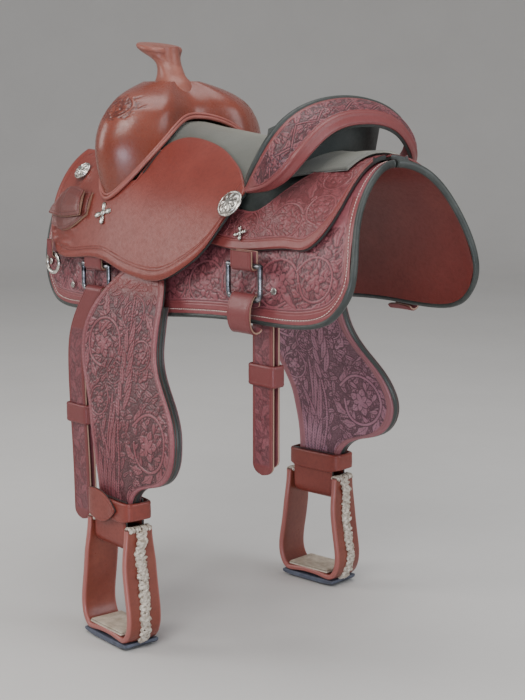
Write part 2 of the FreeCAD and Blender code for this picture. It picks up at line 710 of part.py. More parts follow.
def stirrup_profile(inset, bottom, top):
    """Closed bell shape in the XZ plane, inset from the stirrup's outside."""
    wide = STIRRUP_BOTTOM_HALF - inset
    narrow = STIRRUP_TOP_HALF - inset
    height = top - bottom
    right = Part.BSplineCurve()
    right.interpolate([V(narrow, 0, top), V(narrow + 1.5, 0, top - 0.3 * height),
                       V(wide - 4, 0, top - 0.62 * height), V(wide, 0, bottom + 0.2 * height),
                       V(wide - 5, 0, bottom + 0.07 * height), V(wide - 17, 0, bottom)])
    side = right.toShape()
    other = side.mirror(V(0, 0, 0), V(1, 0, 0))
    base = Part.makeLine(V(wide - 17, 0, bottom), V(-wide + 17, 0, bottom))
    lid = Part.makeLine(V(-narrow, 0, top), V(narrow, 0, top))
    wire = Part.Wire(Part.__sortEdges__([side, base, other, lid]))
    return Part.Face(wire)


def stirrup_prism(inset, bottom, top, depth):
    solid = stirrup_profile(inset, bottom, top).extrude(V(0, depth, 0))
    solid.translate(V(STIRRUP_X, STIRRUP_Y - depth / 2, 0))
    return solid


def rounded_top():
    """Envelope that takes the corners off the arm tops, so that the stirrup can swing on its bolt."""
    deep = STIRRUP_DEPTH / 2 + 1
    corner = 17.0
    outline = [(-deep, STIRRUP_BOTTOM_Z - 1), (-deep, STIRRUP_TOP_Z - corner), (-deep + corner, STIRRUP_TOP_Z),
               (deep - corner, STIRRUP_TOP_Z), (deep, STIRRUP_TOP_Z - corner), (deep, STIRRUP_BOTTOM_Z - 1)]
    points = [V(STIRRUP_X - 100, STIRRUP_Y + y, z) for y, z in outline]
    return Part.Face(Part.makePolygon(points + [points[0]])).extrude(V(200, 0, 0))


def make_stirrups():
    floor_z = STIRRUP_BOTTOM_Z
    frame_top = STIRRUP_TOP_Z
    frame = stirrup_prism(0.0, floor_z, frame_top, STIRRUP_DEPTH)
    frame = frame.cut(stirrup_prism(STIRRUP_ARM, floor_z + TREAD_BOARD, frame_top + 1, STIRRUP_DEPTH + 2))
    frame = frame.common(rounded_top())
    bore = Part.makeCylinder(BOLT_RADIUS + RUNNING_FIT, 200, V(STIRRUP_X - 100, STIRRUP_Y, BOLT_Z), V(1, 0, 0))
    frame = frame.cut(bore)
    export_pair("stirrup", turned_down(frame))
    tread_z = floor_z + TREAD_BOARD + GAP
    half = STIRRUP_BOTTOM_HALF - STIRRUP_ARM - 19.0
    pad = box(-half, half, -STIRRUP_DEPTH / 2 + 2, STIRRUP_DEPTH / 2 - 2, 0, TREAD_PAD)
    pad = pad.makeFillet(2.0, [e for e in pad.Edges if e.BoundBox.ZMin > TREAD_PAD - 0.1])
    pad.translate(V(STIRRUP_X, STIRRUP_Y, tread_z))
    export_pair("tread", turned_down(pad))
    half = STIRRUP_BOTTOM_HALF - 16.0
    base = box(-half, half, -STIRRUP_DEPTH / 2, STIRRUP_DEPTH / 2, -TREAD_BASE, 0)
    base = base.makeFillet(3.0, [e for e in base.Edges if e.BoundBox.ZMax < -TREAD_BASE + 0.1])
    base.translate(V(STIRRUP_X, STIRRUP_Y, floor_z - GAP))
    export_pair("tread_base", turned_down(base))
    # bolt across the top with its head, nut and spacer sleeve
    reach = STIRRUP_TOP_HALF + 2.0
    bolt = Part.makeCylinder(BOLT_RADIUS, 2 * reach + 6, V(-reach - 3, 0, 0), V(1, 0, 0))
    head = Part.makeCylinder(8.5, 4, V(-reach - 4, 0, 0), V(1, 0, 0))
    nut = Part.makeCylinder(8.5, 5, V(reach, 0, 0), V(1, 0, 0))
    bolt = bolt.fuse(head).fuse(nut)
    sleeve_half = STIRRUP_TOP_HALF - STIRRUP_ARM - 1.2
    sleeve = Part.makeCylinder(SLEEVE_RADIUS, 2 * sleeve_half, V(-sleeve_half, 0, 0), V(1, 0, 0))
    sleeve = sleeve.cut(Part.makeCylinder(BOLT_RADIUS + RUNNING_FIT, 200, V(-100, 0, 0), V(1, 0, 0)))
    group = Part.makeCompound([bolt, sleeve])
    group.translate(V(STIRRUP_X, STIRRUP_Y, BOLT_Z))
    export_pair("stirrup_bolt", turned_down(group))
    # braided rawhide down the middle of the rear arm
    strip = stirrup_prism(-3.4, floor_z, frame_top, 17.0)
    strip = strip.cut(stirrup_prism(-GAP, floor_z, frame_top, 20.0))
    strip = strip.common(box(STIRRUP_X + 20, STIRRUP_X + 120, -400, 0, floor_z + 14, frame_top - 34))
    export_pair("rawhide", turned_down(max(strip.Solids, key=lambda s: s.Volume)))


def make_stirrup_leathers():
    outer = LOOP_RADIUS + LOOP_LEATHER
    top = -528.0
    loop = Part.makeCylinder(outer, 2 * LOOP_HALF, V(-LOOP_HALF, 0, 0), V(1, 0, 0))
    loop = loop.fuse(box(-LOOP_HALF, LOOP_HALF, -outer, outer, 0, top - BOLT_Z))
    loop = loop.cut(Part.makeCylinder(LOOP_RADIUS, 200, V(-100, 0, 0), V(1, 0, 0)))
    loop = loop.cut(box(-100, 100, -LOOP_RADIUS, LOOP_RADIUS, 0, 200))
    loop.translate(V(STIRRUP_X, STIRRUP_Y, BOLT_Z))
    export_pair("stirrup_leather", turned_down(loop))
    inner_y = outer + 2.0
    x0, x1 = -86.0, 50.0
    band = box(x0 - HOBBLE_LEATHER, x1, -inner_y - HOBBLE_LEATHER, inner_y + HOBBLE_LEATHER, -565, -520)
    band = band.cut(box(x0, x1 - HOBBLE_LEATHER, -inner_y, inner_y, -600, -500))
    uprights = [e for e in band.Edges if abs(e.BoundBox.ZLength - 45) < 0.5]
    band = band.makeFillet(2.2, uprights)
    band.translate(V(0, STIRRUP_Y, 0))
    export_pair("hobble_strap", turned_down(band))


# ---------------------------------------------------------------- ornaments and small leather
def concho(radius):
    """Domed silver disc with a raised rim, standing on +Z."""
    profile = [V(0, 0, 0), V(radius, 0, 0), V(radius, 0, 2.0), V(0.86 * radius, 0, 3.6), V(0.5 * radius, 0, 5.4),
               V(0, 0, 6.5)]
    wire = Part.makePolygon(profile + [profile[0]])
    return Part.Face(wire).revolve(V(0, 0, 0), V(0, 0, 1), 360)


def petals(radius, count, turn):
    """Flat ornament of oval petals round a small boss, standing on +Z."""
    shape = Part.makeCylinder(0.28 * radius, 3.2)
    for i in range(count):
        petal = Part.makeCylinder(1.0, 2.4)
        matrix = FreeCAD.Matrix()
        matrix.scale(0.42 * radius, 0.2 * radius, 1.0)
        petal = petal.transformGeometry(matrix)
        petal.translate(V(0.6 * radius, 0, 0))
        petal.rotate(V(0, 0, 0), V(0, 0, 1), turn + 360.0 * i / count)
        shape = shape.fuse(petal)
    return shape


def make_ornaments():
    placed = []
    for x, angle, radius, lift in ((-272, 39.5, 17, JOCKEY + 6.0), (156, 48.5, 23, JOCKEY + 6.5)):
        off = body_offset(x, angle) + lift
        point, normal = surface_frame(x, angle, off)
        placed.append(stand_on(concho(radius), point, normal))
    export("conchos", both(Part.makeCompound(placed)))
    small = []
    for x, angle, radius in ((-146, 57.5, 20), (176, 57, 12)):
        off = body_offset(x, angle) + JOCKEY + 1.5 if x < 100 else rear_offset(x, angle) + REAR_JOCKEY + 3.0
        point, normal = surface_frame(x, angle, off)
        small.append(stand_on(petals(radius, 4, 20), point, normal))
    export("ornaments", both(Part.makeCompound(small)))
    screws = []
    for x, angle in ((262, 78), (-330, 80), (-250, 88)):
        point, normal = surface_frame(x, angle, 1.6)
        head = Part.makeCylinder(5.5, 2.5)
        head = head.makeFillet(1.2, [head.Edges[0]])
        screws.append(stand_on(head, point, normal))
    export("saddle_screws", both(Part.makeCompound(screws)))


CARRIER_LOW, CARRIER_HIGH = JOCKEY + 1.6, JOCKEY + 8.0
FLAP_TOP = [(-272, 50), (-240, 49.5), (-210, 51)]
FLAP_BOTTOM = [(-304, 61.5), (-250, 62), (-198, 60.5)]
LOOP_TOP = [(-308, 54), (-255, 52), (-198, 50)]
LOOP_BOTTOM = [(-300, 65), (-250, 66.5), (-192, 59)]


def make_carriers():
    """Latigo carrier on the near front and the loops that hang from the rear dees."""
    flap = back_patch(FLAP_TOP, FLAP_BOTTOM, above_body(CARRIER_LOW + 9), above_body(CARRIER_HIGH + 9),
                      rows=16, across=8)
    low, high = above_body(CARRIER_LOW), above_body(CARRIER_HIGH)
    loop = back_patch(LOOP_TOP, LOOP_BOTTOM, low, high, rows=16, across=8)
    export("latigo_carrier", Part.makeCompound([flap, loop]))


CARRIER_FRONT_X, CARRIER_REAR_X = 190.0, 240.0
CARRIER_LEATHER = 4.5


def make_carrier_loops():
    """Leather that folds over the rear dee's lower bar and tucks round the skirt's bottom edge."""
    y = -REAR_DEE["out"]
    z = REAR_DEE["z"] - REAR_DEE["drop"]
    reach = DEE_BAR + 1.5 + CARRIER_LEATHER
    path = [(y + reach, z - 14), (y + reach, z), (y, z + reach), (y - reach, z), (y - reach - 5, z - 18),
            (y - reach - 3, z - 40), (y - 3, z - 53), (y + 12, z - 51), (y + 17, z - 44)]
    curve = Part.BSplineCurve()
    curve.interpolate([V(0, b, c) for b, c in path])
    first, last = curve.FirstParameter, curve.LastParameter
    inner_grid, outer_grid = [], []
    for i in range(49):
        t = first + (last - first) * i / 48
        point = curve.value(t)
        tangent = curve.tangent(t)[0]
        inward = V(0, -tangent.z, tangent.y).normalize() * CARRIER_LEATHER
        across = [CARRIER_FRONT_X + (CARRIER_REAR_X - CARRIER_FRONT_X) * j / 3 for j in range(4)]
        row = [V(x, point.y, point.z) for x in across]
        outer_grid.append(row)
        inner_grid.append([p + inward for p in row])
    export_pair("carrier_loop", sheet(inner_grid, outer_grid))


def main():
    os.makedirs("parts", exist_ok=True)
    make_skirts()
    make_tree()
    swell_outer = swell_solid(0.0)
    make_fork(swell_outer)
    make_horn(swell_outer)
    make_cantle()
    make_seat(swell_outer)
    make_jockeys()
    make_rings()
    make_straps()
    make_fenders()
    make_stirrups()
    make_stirrup_leathers()
    make_ornaments()
    make_carriers()
    make_carrier_loops()


main()
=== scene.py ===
import math
import random

import bpy
import numpy as np
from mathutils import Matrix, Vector


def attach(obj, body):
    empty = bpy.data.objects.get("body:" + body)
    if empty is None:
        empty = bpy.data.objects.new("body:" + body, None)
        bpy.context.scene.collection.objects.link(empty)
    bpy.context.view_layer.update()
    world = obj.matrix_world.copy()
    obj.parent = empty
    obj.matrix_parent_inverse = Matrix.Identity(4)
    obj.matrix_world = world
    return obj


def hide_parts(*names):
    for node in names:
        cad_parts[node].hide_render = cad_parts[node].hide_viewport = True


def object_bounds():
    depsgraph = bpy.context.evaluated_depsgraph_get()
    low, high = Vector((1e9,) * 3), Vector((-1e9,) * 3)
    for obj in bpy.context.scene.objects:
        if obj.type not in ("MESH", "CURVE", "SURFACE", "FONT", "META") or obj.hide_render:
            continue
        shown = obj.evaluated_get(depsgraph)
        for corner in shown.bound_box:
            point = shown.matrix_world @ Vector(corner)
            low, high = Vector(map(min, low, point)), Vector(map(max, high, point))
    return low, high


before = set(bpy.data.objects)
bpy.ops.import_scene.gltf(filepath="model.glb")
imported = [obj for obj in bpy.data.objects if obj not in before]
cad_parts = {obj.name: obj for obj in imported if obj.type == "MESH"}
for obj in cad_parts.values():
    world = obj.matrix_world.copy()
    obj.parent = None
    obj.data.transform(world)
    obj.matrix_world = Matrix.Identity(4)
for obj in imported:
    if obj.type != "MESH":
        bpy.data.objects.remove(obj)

CAD_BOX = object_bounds()
MM = 0.001
SIDES = {"left": 1.0, "right": -1.0}      # shapes are made for the near (left) side and mirrored in Y

# ---- driving dimensions, as in the CAD model (mm and degrees from the spine)
BACK_HALF_WIDTH, BACK_WIDEST_X, BACK_WIDTH_FALL = 176.0, 40.0, 75.0
BACK_SPRING_Z, BACK_TOP_Z, BACK_LOWEST_X = -212.0, 9.3, 60.0
BACK_RISE_FRONT, BACK_RISE_REAR = 105.0, 64.0
DROP_PER_DEGREE = 4.0
SKIRT, LINING, JOCKEY, GAP = 5.0, 4.0, 8.0, 0.3
BODY_LOW_OFFSET, BODY_FALL_ANGLE = 22.0, 30.0
RIDGE = [(-300, 14), (-255, 20), (-205, 50), (-123, 69), (-60, 60), (67, 47.5), (150, 35), (238, 22),
         (330, 13)]
BAR_HIGH, REAR_LIFT = 9.6, 3.3

SKIRT_TOP = [(-362, 24), (-270, 22), (-180, 22), (-120, 17), (-60, 4), (0, 1), (120, 1), (240, 1), (352, 1)]
SKIRT_BOTTOM = [(-352, 76), (-333, 90), (-295, 96.5), (-240, 97), (-137, 96.5), (54, 92), (200, 90),
                (300, 90), (355, 87.5), (384, 82), (400, 73)]
JOCKEY_TOP = [(160, 40), (130, 32), (95, 26), (55, 21), (9, 18), (-31, 17.5), (-58, 20), (-78, 29),
              (-84, 37), (-102, 42), (-128, 44.5), (-168, 43), (-204, 38), (-226, 29), (-242, 24), (-252, 21)]
JOCKEY_BOTTOM = [(164, 42), (150, 52), (131, 63), (111, 69), (82, 74), (50, 78), (12, 80), (-30, 79.5),
                 (-73, 78), (-130, 75), (-205, 76), (-270, 76), (-312, 68), (-334, 50), (-336, 34),
                 (-330, 21)]
REAR_TOP = [(96, 46), (150, 46), (195, 46), (232, 36), (262, 24), (300, 9), (340, 2)]
REAR_BOTTOM = [(96, 61), (150, 63), (215, 63), (285, 62), (330, 59), (352, 46), (344, 12)]


# ---- maths on the horse's back
def half_width(x):
    return BACK_HALF_WIDTH - ((x - BACK_WIDEST_X) / BACK_WIDTH_FALL) ** 2


def top_z(x):
    rise = np.where(x > BACK_LOWEST_X, BACK_RISE_REAR, BACK_RISE_FRONT)
    return BACK_TOP_Z + ((x - BACK_LOWEST_X) / rise) ** 2


def on_back(x, angle, off):
    """Points of the near side at an angle from the spine, off outside the skirts' outer face."""
    x, angle, off = np.broadcast_arrays(*(np.asarray(v, float) for v in (x, angle, off)))
    turn = np.radians(np.minimum(np.abs(angle), 90.0))
    y = (half_width(x) + off) * np.sin(turn)
    z = BACK_SPRING_Z + (top_z(x) - BACK_SPRING_Z + off) * np.cos(turn)
    z = z - DROP_PER_DEGREE * np.maximum(np.abs(angle) - 90.0, 0.0)
    return np.stack([x, -np.sign(angle) * y, z], axis=-1)


def ease(t):
    t = np.clip(t, 0.0, 1.0)
    return t * t * (3 - 2 * t)


def bump(t):
    """Smooth bell from 0 to 1 and back as t goes from -1 to 1."""
    return ease(1 - np.abs(t))


def linear(points, value):
    return np.interp(value, [p[0] for p in points], [p[1] for p in points])


def body_offset(x, angle):
    """Outer face of the built-up seat body, measured off the skirts."""
    knots = np.linspace(-20, 20, 9)
    ridge = np.mean([linear(RIDGE, np.asarray(x) + k) for k in knots], axis=0)
    low = np.minimum(BODY_LOW_OFFSET, ridge)
    return low + (ridge - low) / (1 + (np.abs(angle) / BODY_FALL_ANGLE) ** 3)


def rear_offset(x, angle):
    """Lower face of the rear jockey: over the tree bar it rides higher."""
    over_bar = ease((60 - angle) / 24.0) * ease((angle - 3) / 10.0) * ease((332 - x) / 90.0)
    return REAR_LIFT + (BAR_HIGH - REAR_LIFT + 2 * GAP) * over_bar


def lengths(path):
    """Distance travelled along a path, at each of its points."""
    return np.concatenate([[0.0], np.cumsum(np.linalg.norm(np.diff(path, axis=0), axis=1))])


def round_turn(count):
    """Angles of evenly spaced points round a circle, in radians."""
    return 2 * math.pi * np.arange(count) / count


def polar(x, y, radius, degrees):
    turn = math.radians(degrees)
    return x + radius * math.cos(turn), y + radius * math.sin(turn)


def between(a, b, t):
    """Grid of points from one curve to another, at the shares t of the way across."""
    return a[:, None] + (b - a)[:, None] * t[None, :, None]


def spline(points, count):
    """Smooth curve through a few points, sampled evenly along its chord length."""
    p = np.array(points, float)
    t = lengths(p)
    n, h = len(p), np.diff(t)
    system, right = np.eye(n), np.zeros_like(p)
    for i in range(1, n - 1):
        system[i, i - 1:i + 2] = h[i - 1], 2 * (h[i - 1] + h[i]), h[i]
        right[i] = 6 * ((p[i + 1] - p[i]) / h[i] - (p[i] - p[i - 1]) / h[i - 1])
    m = np.linalg.solve(system, right)
    s = np.linspace(0, t[-1], count)
    i = np.clip(np.searchsorted(t, s) - 1, 0, n - 2)
    a, b, hi = ((t[i + 1] - s) / h[i])[:, None], ((s - t[i]) / h[i])[:, None], h[i][:, None]
    return a * p[i] + b * p[i + 1] + ((a ** 3 - a) * m[i] + (b ** 3 - b) * m[i + 1]) * hi ** 2 / 6


def unit(v):
    return v / np.maximum(np.linalg.norm(v, axis=-1, keepdims=True), 1e-9)


def grid_normals(grid):
    du = np.gradient(grid, axis=0)
    dv = np.gradient(grid, axis=1)
    return unit(np.cross(du, dv))


def border_distance(grid):
    """Distance in mm from each grid point to the first and last row and the first and last column."""
    along = np.cumsum(np.linalg.norm(np.diff(grid, axis=0, prepend=grid[:1]), axis=2), axis=0)
    across = np.cumsum(np.linalg.norm(np.diff(grid, axis=1, prepend=grid[:, :1]), axis=2), axis=1)
    return along, along[-1:] - along, across, across[:, -1:] - across


FIRST_ROW, LAST_ROW, FIRST_COLUMN, LAST_COLUMN = range(4)
ALL_SIDES = (FIRST_ROW, LAST_ROW, FIRST_COLUMN, LAST_COLUMN)


def nearest_border(grid, *sides):
    distances = border_distance(grid)
    return np.minimum.reduce([distances[k] for k in sides])


# ---- mesh building
def make_object(name, points, faces, attributes, material):
    """Mesh object from points in mm, an index array of quads (or a list of them) and point attributes."""
    mesh = bpy.data.meshes.new(name)
    faces = [np.asarray(f) for f in faces]
    corners = np.concatenate([f.reshape(-1) for f in faces])
    sizes = np.concatenate([np.full(len(f), f.shape[1]) for f in faces])
    mesh.vertices.add(len(points))
    mesh.vertices.foreach_set("co", (np.asarray(points) * MM).reshape(-1).astype(np.float32))
    mesh.loops.add(len(corners))
    mesh.loops.foreach_set("vertex_index", corners.astype(np.int32))
    mesh.polygons.add(len(sizes))
    mesh.polygons.foreach_set("loop_start", (np.cumsum(sizes) - sizes).astype(np.int32))
    mesh.update(calc_edges=True)
    mesh.validate()
    for key, values in attributes.items():
        attribute = mesh.attributes.new(key, "FLOAT", "POINT")
        attribute.data.foreach_set("value", np.asarray(values, np.float32).reshape(-1))
    mesh.shade_smooth()
    obj = bpy.data.objects.new(name, mesh)
    bpy.context.scene.collection.objects.link(obj)
    obj.data.materials.append(material)
    return obj


def quads(rows, columns, start=0, closed=False):
    """Quads of a grid of points stored row by row; closed joins the last column to the first."""
    index = start + np.arange(rows * columns).reshape(rows, columns)
    if closed:
        index = np.concatenate([index, index[:, :1]], axis=1)
    return np.stack([index[:-1, :-1], index[1:, :-1], index[1:, 1:], index[:-1, 1:]], axis=-1).reshape(-1, 4)


def mirror_mesh(points, faces, side):
    if SIDES[side] > 0:
        return points, faces
    return points * [1, -1, 1], [f[:, ::-1] for f in faces]


def panel(name, outer, inner, material, tool=None, side="left", wall=5, bulge=0.8, coarse=4, colour=None):
    """Closed leather sheet: a fine outer grid, a coarse inner grid and a rounded dark edge between them."""
    rows, columns = outer.shape[:2]
    tool = np.zeros((rows, columns)) if tool is None else tool
    loop = np.concatenate([np.arange(columns), columns * np.arange(1, rows) + columns - 1,
                           columns * (rows - 1) + np.arange(columns - 2, -1, -1),
                           columns * np.arange(rows - 2, 0, -1)])
    flat_outer, flat_inner = outer.reshape(-1, 3), inner.reshape(-1, 3)
    centre = np.pad(outer[1:-1, 1:-1], ((1, 1), (1, 1), (0, 0)), mode="edge").reshape(-1, 3)
    away = unit(flat_outer[loop] - centre[loop])
    rings = []
    for k in range(1, wall + 1):
        t = k / wall
        ring = flat_outer[loop] * (1 - t) + flat_inner[loop] * t
        rings.append(ring + away * bulge * math.sin(math.pi * t))
    low = inner[::coarse, ::coarse]
    points = np.concatenate([flat_outer] + rings + [low.reshape(-1, 3)])
    faces = [quads(rows, columns)]
    ring_start = rows * columns
    top = np.stack([loop, ring_start + np.arange(len(loop))])
    faces.append(strip(top[0], top[1]))
    for k in range(wall - 1):
        a = ring_start + k * len(loop) + np.arange(len(loop))
        faces.append(strip(a, a + len(loop)))
    low_start = ring_start + wall * len(loop)
    faces.append(quads(low.shape[0], low.shape[1], low_start)[:, ::-1])
    edge = np.zeros(len(points))
    edge[ring_start:low_start] = 1.0
    depth = np.concatenate([tool.reshape(-1), np.zeros(len(points) - tool.size)])
    tint = np.zeros(len(points))
    if colour is not None:
        tint[:tool.size] = colour.reshape(-1)
    points, faces = mirror_mesh(points, faces, side)
    return make_object(name, points, faces, {"tool": depth, "edge": edge, "tint": tint}, material)


def belongs(piece, body, cad=None):
    """Parents a piece to the empty of the body it rides, and hides the CAD node it stands for."""
    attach(piece, body)
    if cad:
        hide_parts(cad)


def strip(a, b):
    """Quads between two closed loops of vertex indices."""
    return np.stack([a, b, np.roll(b, -1), np.roll(a, -1)], axis=-1)


def tube(path, radius, sides=10, closed=False):
    """Points and faces of a round tube along a path; radius is a number or one value per point."""
    path = np.asarray(path, float)
    if closed:
        ahead, behind = np.roll(path, -1, axis=0), np.roll(path, 1, axis=0)
        tangent = unit(ahead - behind)
    else:
        tangent = unit(np.gradient(path, axis=0))
    normal = np.zeros_like(path)
    start = np.array([0.0, 0.0, 1.0]) if abs(tangent[0][2]) < 0.9 else np.array([1.0, 0.0, 0.0])
    for i, t in enumerate(tangent):
        start = start - t * start.dot(t)
        start = start / np.linalg.norm(start)
        normal[i] = start
    side = np.cross(tangent, normal)
    turn = round_turn(sides)
    radius = np.broadcast_to(np.asarray(radius, float), (len(path),))[:, None, None]
    ring = normal[:, None] * np.cos(turn)[None, :, None] + side[:, None] * np.sin(turn)[None, :, None]
    points = (path[:, None] + radius * ring).reshape(-1, 3)
    faces = [quads(len(path), sides, closed=True)]
    if closed:
        last = (len(path) - 1) * sides + np.arange(sides)
        faces.append(strip(last, np.arange(sides)))
    else:
        faces.append(np.arange(sides)[None, ::-1])
        faces.append(((len(path) - 1) * sides + np.arange(sides))[None])
    return points, faces


def joined(parts):
    """One set of points and faces out of several."""
    points, faces, start = [], [], 0
    for p, f in parts:
        points.append(p)
        faces += [np.asarray(q) + start for q in f]
        start += len(p)
    by_size = {}
    for f in faces:
        by_size.setdefault(f.shape[1], []).append(f)
    return np.concatenate(points), [np.concatenate(f) for f in by_size.values()]


def solid_object(name, parts, material, side="left", **attributes):
    points, faces = joined(parts)
    points, faces = mirror_mesh(points, faces, side)
    values = {"tool": 0.0, "edge": 0.0, "tint": 0.0}
    values.update(attributes)
    return make_object(name, points, faces, {k: np.full(len(points), v) for k, v in values.items()}, material)


def strap_grid(path, width, thick, wide_way, across=25, height=None, round_edge=1.2, crown=0.0):
    """Outer and inner grids of a strap along a path; wide_way is the direction of its width."""
    path = np.asarray(path, float)
    wide = unit(np.broadcast_to(np.asarray(wide_way, float), path.shape))
    tangent = unit(np.gradient(path, axis=0))
    normal = unit(np.cross(wide, tangent))
    width = np.broadcast_to(np.asarray(width, float), (len(path),))
    t = np.linspace(-1, 1, across)
    t = np.sin(t * math.pi / 2) * 0.35 + t * 0.65
    off = path[:, None] + wide[:, None] * (t[None, :, None] * width[:, None, None] / 2)
    inset = (1 - np.abs(t)[None, :]) * width[:, None] / 2
    drop = round_edge * (1 - ease(inset / (round_edge * 1.4))) - crown * (1 - t[None, :] ** 2)
    lift = thick - drop + (0 if height is None else height(off, inset))
    return off + normal[:, None] * lift[..., None], off + normal[:, None] * 0.0


# ---- carved pattern
# depth of a cut outline, how deep a leaf's lobes are, and the length above which a leaf has ribs
CUT, LOBE_DEPTH, RIBBED_LENGTH = -1.35, 0.22, 22
PETALS, SCROLL_SWEEP, OUTER_LEAVES, INNER_LEAVES = 5, 330, 9, 7


class Carving:
    """Height field of a carved pattern in mm on flat leather; 0 is the uncarved surface."""

    def __init__(self, low, high, seed, cell=0.75, floor=-0.85):
        self.low, self.cell = low, cell
        shape = [int((b - a) / cell) + 2 for a, b in zip(low, high)]
        self.x, self.y = np.meshgrid(low[0] + cell * np.arange(shape[0]), low[1] + cell * np.arange(shape[1]),
                                     indexing="ij")
        self.random = np.random.default_rng(seed)
        stipple = self.random.random(shape)
        stipple = stipple + np.roll(stipple, 1, 0) + np.roll(stipple, 1, 1)
        self.height = floor + 0.30 * (stipple - 1.5)

    def window(self, x, y, reach):
        i = slice(max(int((x - reach - self.low[0]) / self.cell), 0),
                  max(int((x + reach - self.low[0]) / self.cell) + 1, 0))
        j = slice(max(int((y - reach - self.low[1]) / self.cell), 0),
                  max(int((y + reach - self.low[1]) / self.cell) + 1, 0))
        return i, j

    def leaf(self, x, y, heading, length, width, curl=0.0, lobes=0, level=0.0):
        """Leaf or petal from its foot at (x, y) along a heading in degrees, with a vein and a cut outline."""
        turn = math.radians(heading)
        c, s = math.cos(turn), math.sin(turn)
        reach = 0.62 * length + width + abs(curl) * length
        w = self.window(x + 0.5 * length * c, y + 0.5 * length * s, reach)
        dx, dy = self.x[w] - x, self.y[w] - y
        u, v = dx * c + dy * s, -dx * s + dy * c
        v = v - curl * u ** 2 / length
        t = np.clip(u / length, 0, 1)
        waves = 1 + (LOBE_DEPTH * np.cos(2 * math.pi * lobes * t) if lobes else 0)
        half = 0.5 * width * np.sin(math.pi * t ** 0.75) * waves
        inset = half - np.abs(v)
        along = (u > 0) & (u < length)
        outline = (inset > -1.1) & (u > -1.0) & (u < length + 1.0)
        self.height[w] = np.where(outline, np.minimum(self.height[w], CUT), self.height[w])
        shape = level - 0.5 + 0.55 * ease(inset / 2.2) - 0.8 * np.exp(-(v / 0.7) ** 2) * (t < 0.85)
        if length > RIBBED_LENGTH:
            ribs = np.sin((u - 1.1 * np.abs(v)) * 2 * math.pi / 5.5)
            shape = shape - 0.55 * ease((ribs - 0.35) / 0.6) * ease(inset / 1.5) * (t > 0.12)
        self.height[w] = np.where(along & (inset > 0), shape, self.height[w])

    def scatter(self, count, length, width):
        """Small leaves at random over the whole ground."""
        for _ in range(count):
            x = self.random.uniform(self.x[0, 0], self.x[-1, 0])
            y = self.random.uniform(self.y[0, 0], self.y[0, -1])
            size = length * self.random.uniform(0.7, 1.25)
            self.leaf(x, y, self.random.uniform(0, 360), size, width * size / length,
                      curl=self.random.uniform(-0.4, 0.4), lobes=int(self.random.integers(0, 3)), level=-0.12)

    def stem(self, points, width, level=0.1):
        """Rounded stem along a curve through points, with a cut line on both sides."""
        path = spline(points, 70)
        middle = path.mean(axis=0)
        reach = np.abs(path - middle).max() + width + 2
        w = self.window(middle[0], middle[1], reach)
        distance = np.full(self.x[w].shape, 1e9)
        for px, py in path:
            distance = np.minimum(distance, (self.x[w] - px) ** 2 + (self.y[w] - py) ** 2)
        distance = np.sqrt(distance)
        self.height[w] = np.where(distance < width / 2 + 1.2, CUT, self.height[w])
        body = level - 0.25 * (2 * distance / width) ** 2
        self.height[w] = np.where(distance < width / 2, body, self.height[w])

    def flower(self, x, y, radius, turn=0.0):
        """Two rings of petals round a dotted boss."""
        for ring, size in enumerate((1.0, 0.62)):
            for i in range(PETALS):
                heading = turn + 360.0 * (i + 0.5 * ring) / PETALS
                foot = polar(x, y, 0.12 * radius, heading)
                self.leaf(*foot, heading, size * radius * 0.9, size * radius * 0.82, lobes=1, level=0.05)
        w = self.window(x, y, 0.3 * radius)
        distance = np.hypot(self.x[w] - x, self.y[w] - y)
        dots = 0.3 * np.sin(self.x[w] * 2.6) * np.sin(self.y[w] * 2.6)
        self.height[w] = np.where(distance < 0.2 * radius, 0.1 + dots, self.height[w])

    def scroll(self, x, y, radius, start, way=1.0):
        """Stem that winds round a flower, with leaves thrown off its outside."""
        turns = np.linspace(0, 1, 8)
        angles = np.radians(start + way * SCROLL_SWEEP * turns)
        radii = radius * (1.12 - 0.30 * turns)
        points = [(x + r * math.cos(a), y + r * math.sin(a)) for a, r in zip(angles, radii)]
        for i in range(OUTER_LEAVES):
            a = start + way * SCROLL_SWEEP * i / OUTER_LEAVES
            size = radius * (0.62 + 0.22 * self.random.random())
            foot = polar(x, y, 0.95 * radius, a)
            self.leaf(*foot, a + way * 52, size, size * 0.42, curl=way * 0.45, lobes=2)
        for i in range(INNER_LEAVES):
            a = start + way * (25 + SCROLL_SWEEP * i / INNER_LEAVES)
            foot = polar(x, y, 0.86 * radius, a)
            self.leaf(*foot, a + way * 125, radius * 0.42, radius * 0.2, curl=way * 0.5)
        self.stem(points, 0.11 * radius)
        self.flower(x, y, radius * 0.56, turn=start)

    def sample(self, x, y):
        i = np.clip((x - self.low[0]) / self.cell, 0, self.height.shape[0] - 1.001)
        j = np.clip((y - self.low[1]) / self.cell, 0, self.height.shape[1] - 1.001)
        i0, j0 = i.astype(int), j.astype(int)
        fi, fj = i - i0, j - j0
        h = self.height
        return ((h[i0, j0] * (1 - fi) + h[i0 + 1, j0] * fi) * (1 - fj)
                + (h[i0, j0 + 1] * (1 - fi) + h[i0 + 1, j0 + 1] * fi) * fj)


def line_groove(inset, at, width=0.9, deep=1.0):
    """Groove that runs at a set distance inside the border."""
    return -deep * np.exp(-((inset - at) / width) ** 2)


def carved(pattern, inside, x, y):
    """Pattern where inside is 1 and smooth leather where it is 0."""
    return pattern.sample(x, y) * ease(inside)


# ---- materials
def nodes_of(name):
    material = bpy.data.materials.new(name)
    material.use_nodes = True
    tree = material.node_tree
    return material, tree, tree.nodes["Principled BSDF"]


def node(tree, kind, **sockets):
    made = tree.nodes.new(kind)
    for key, value in sockets.items():
        if isinstance(value, bpy.types.NodeSocket):
            tree.links.new(value, made.inputs[key])
        else:
            made.inputs[key].default_value = value
    return made


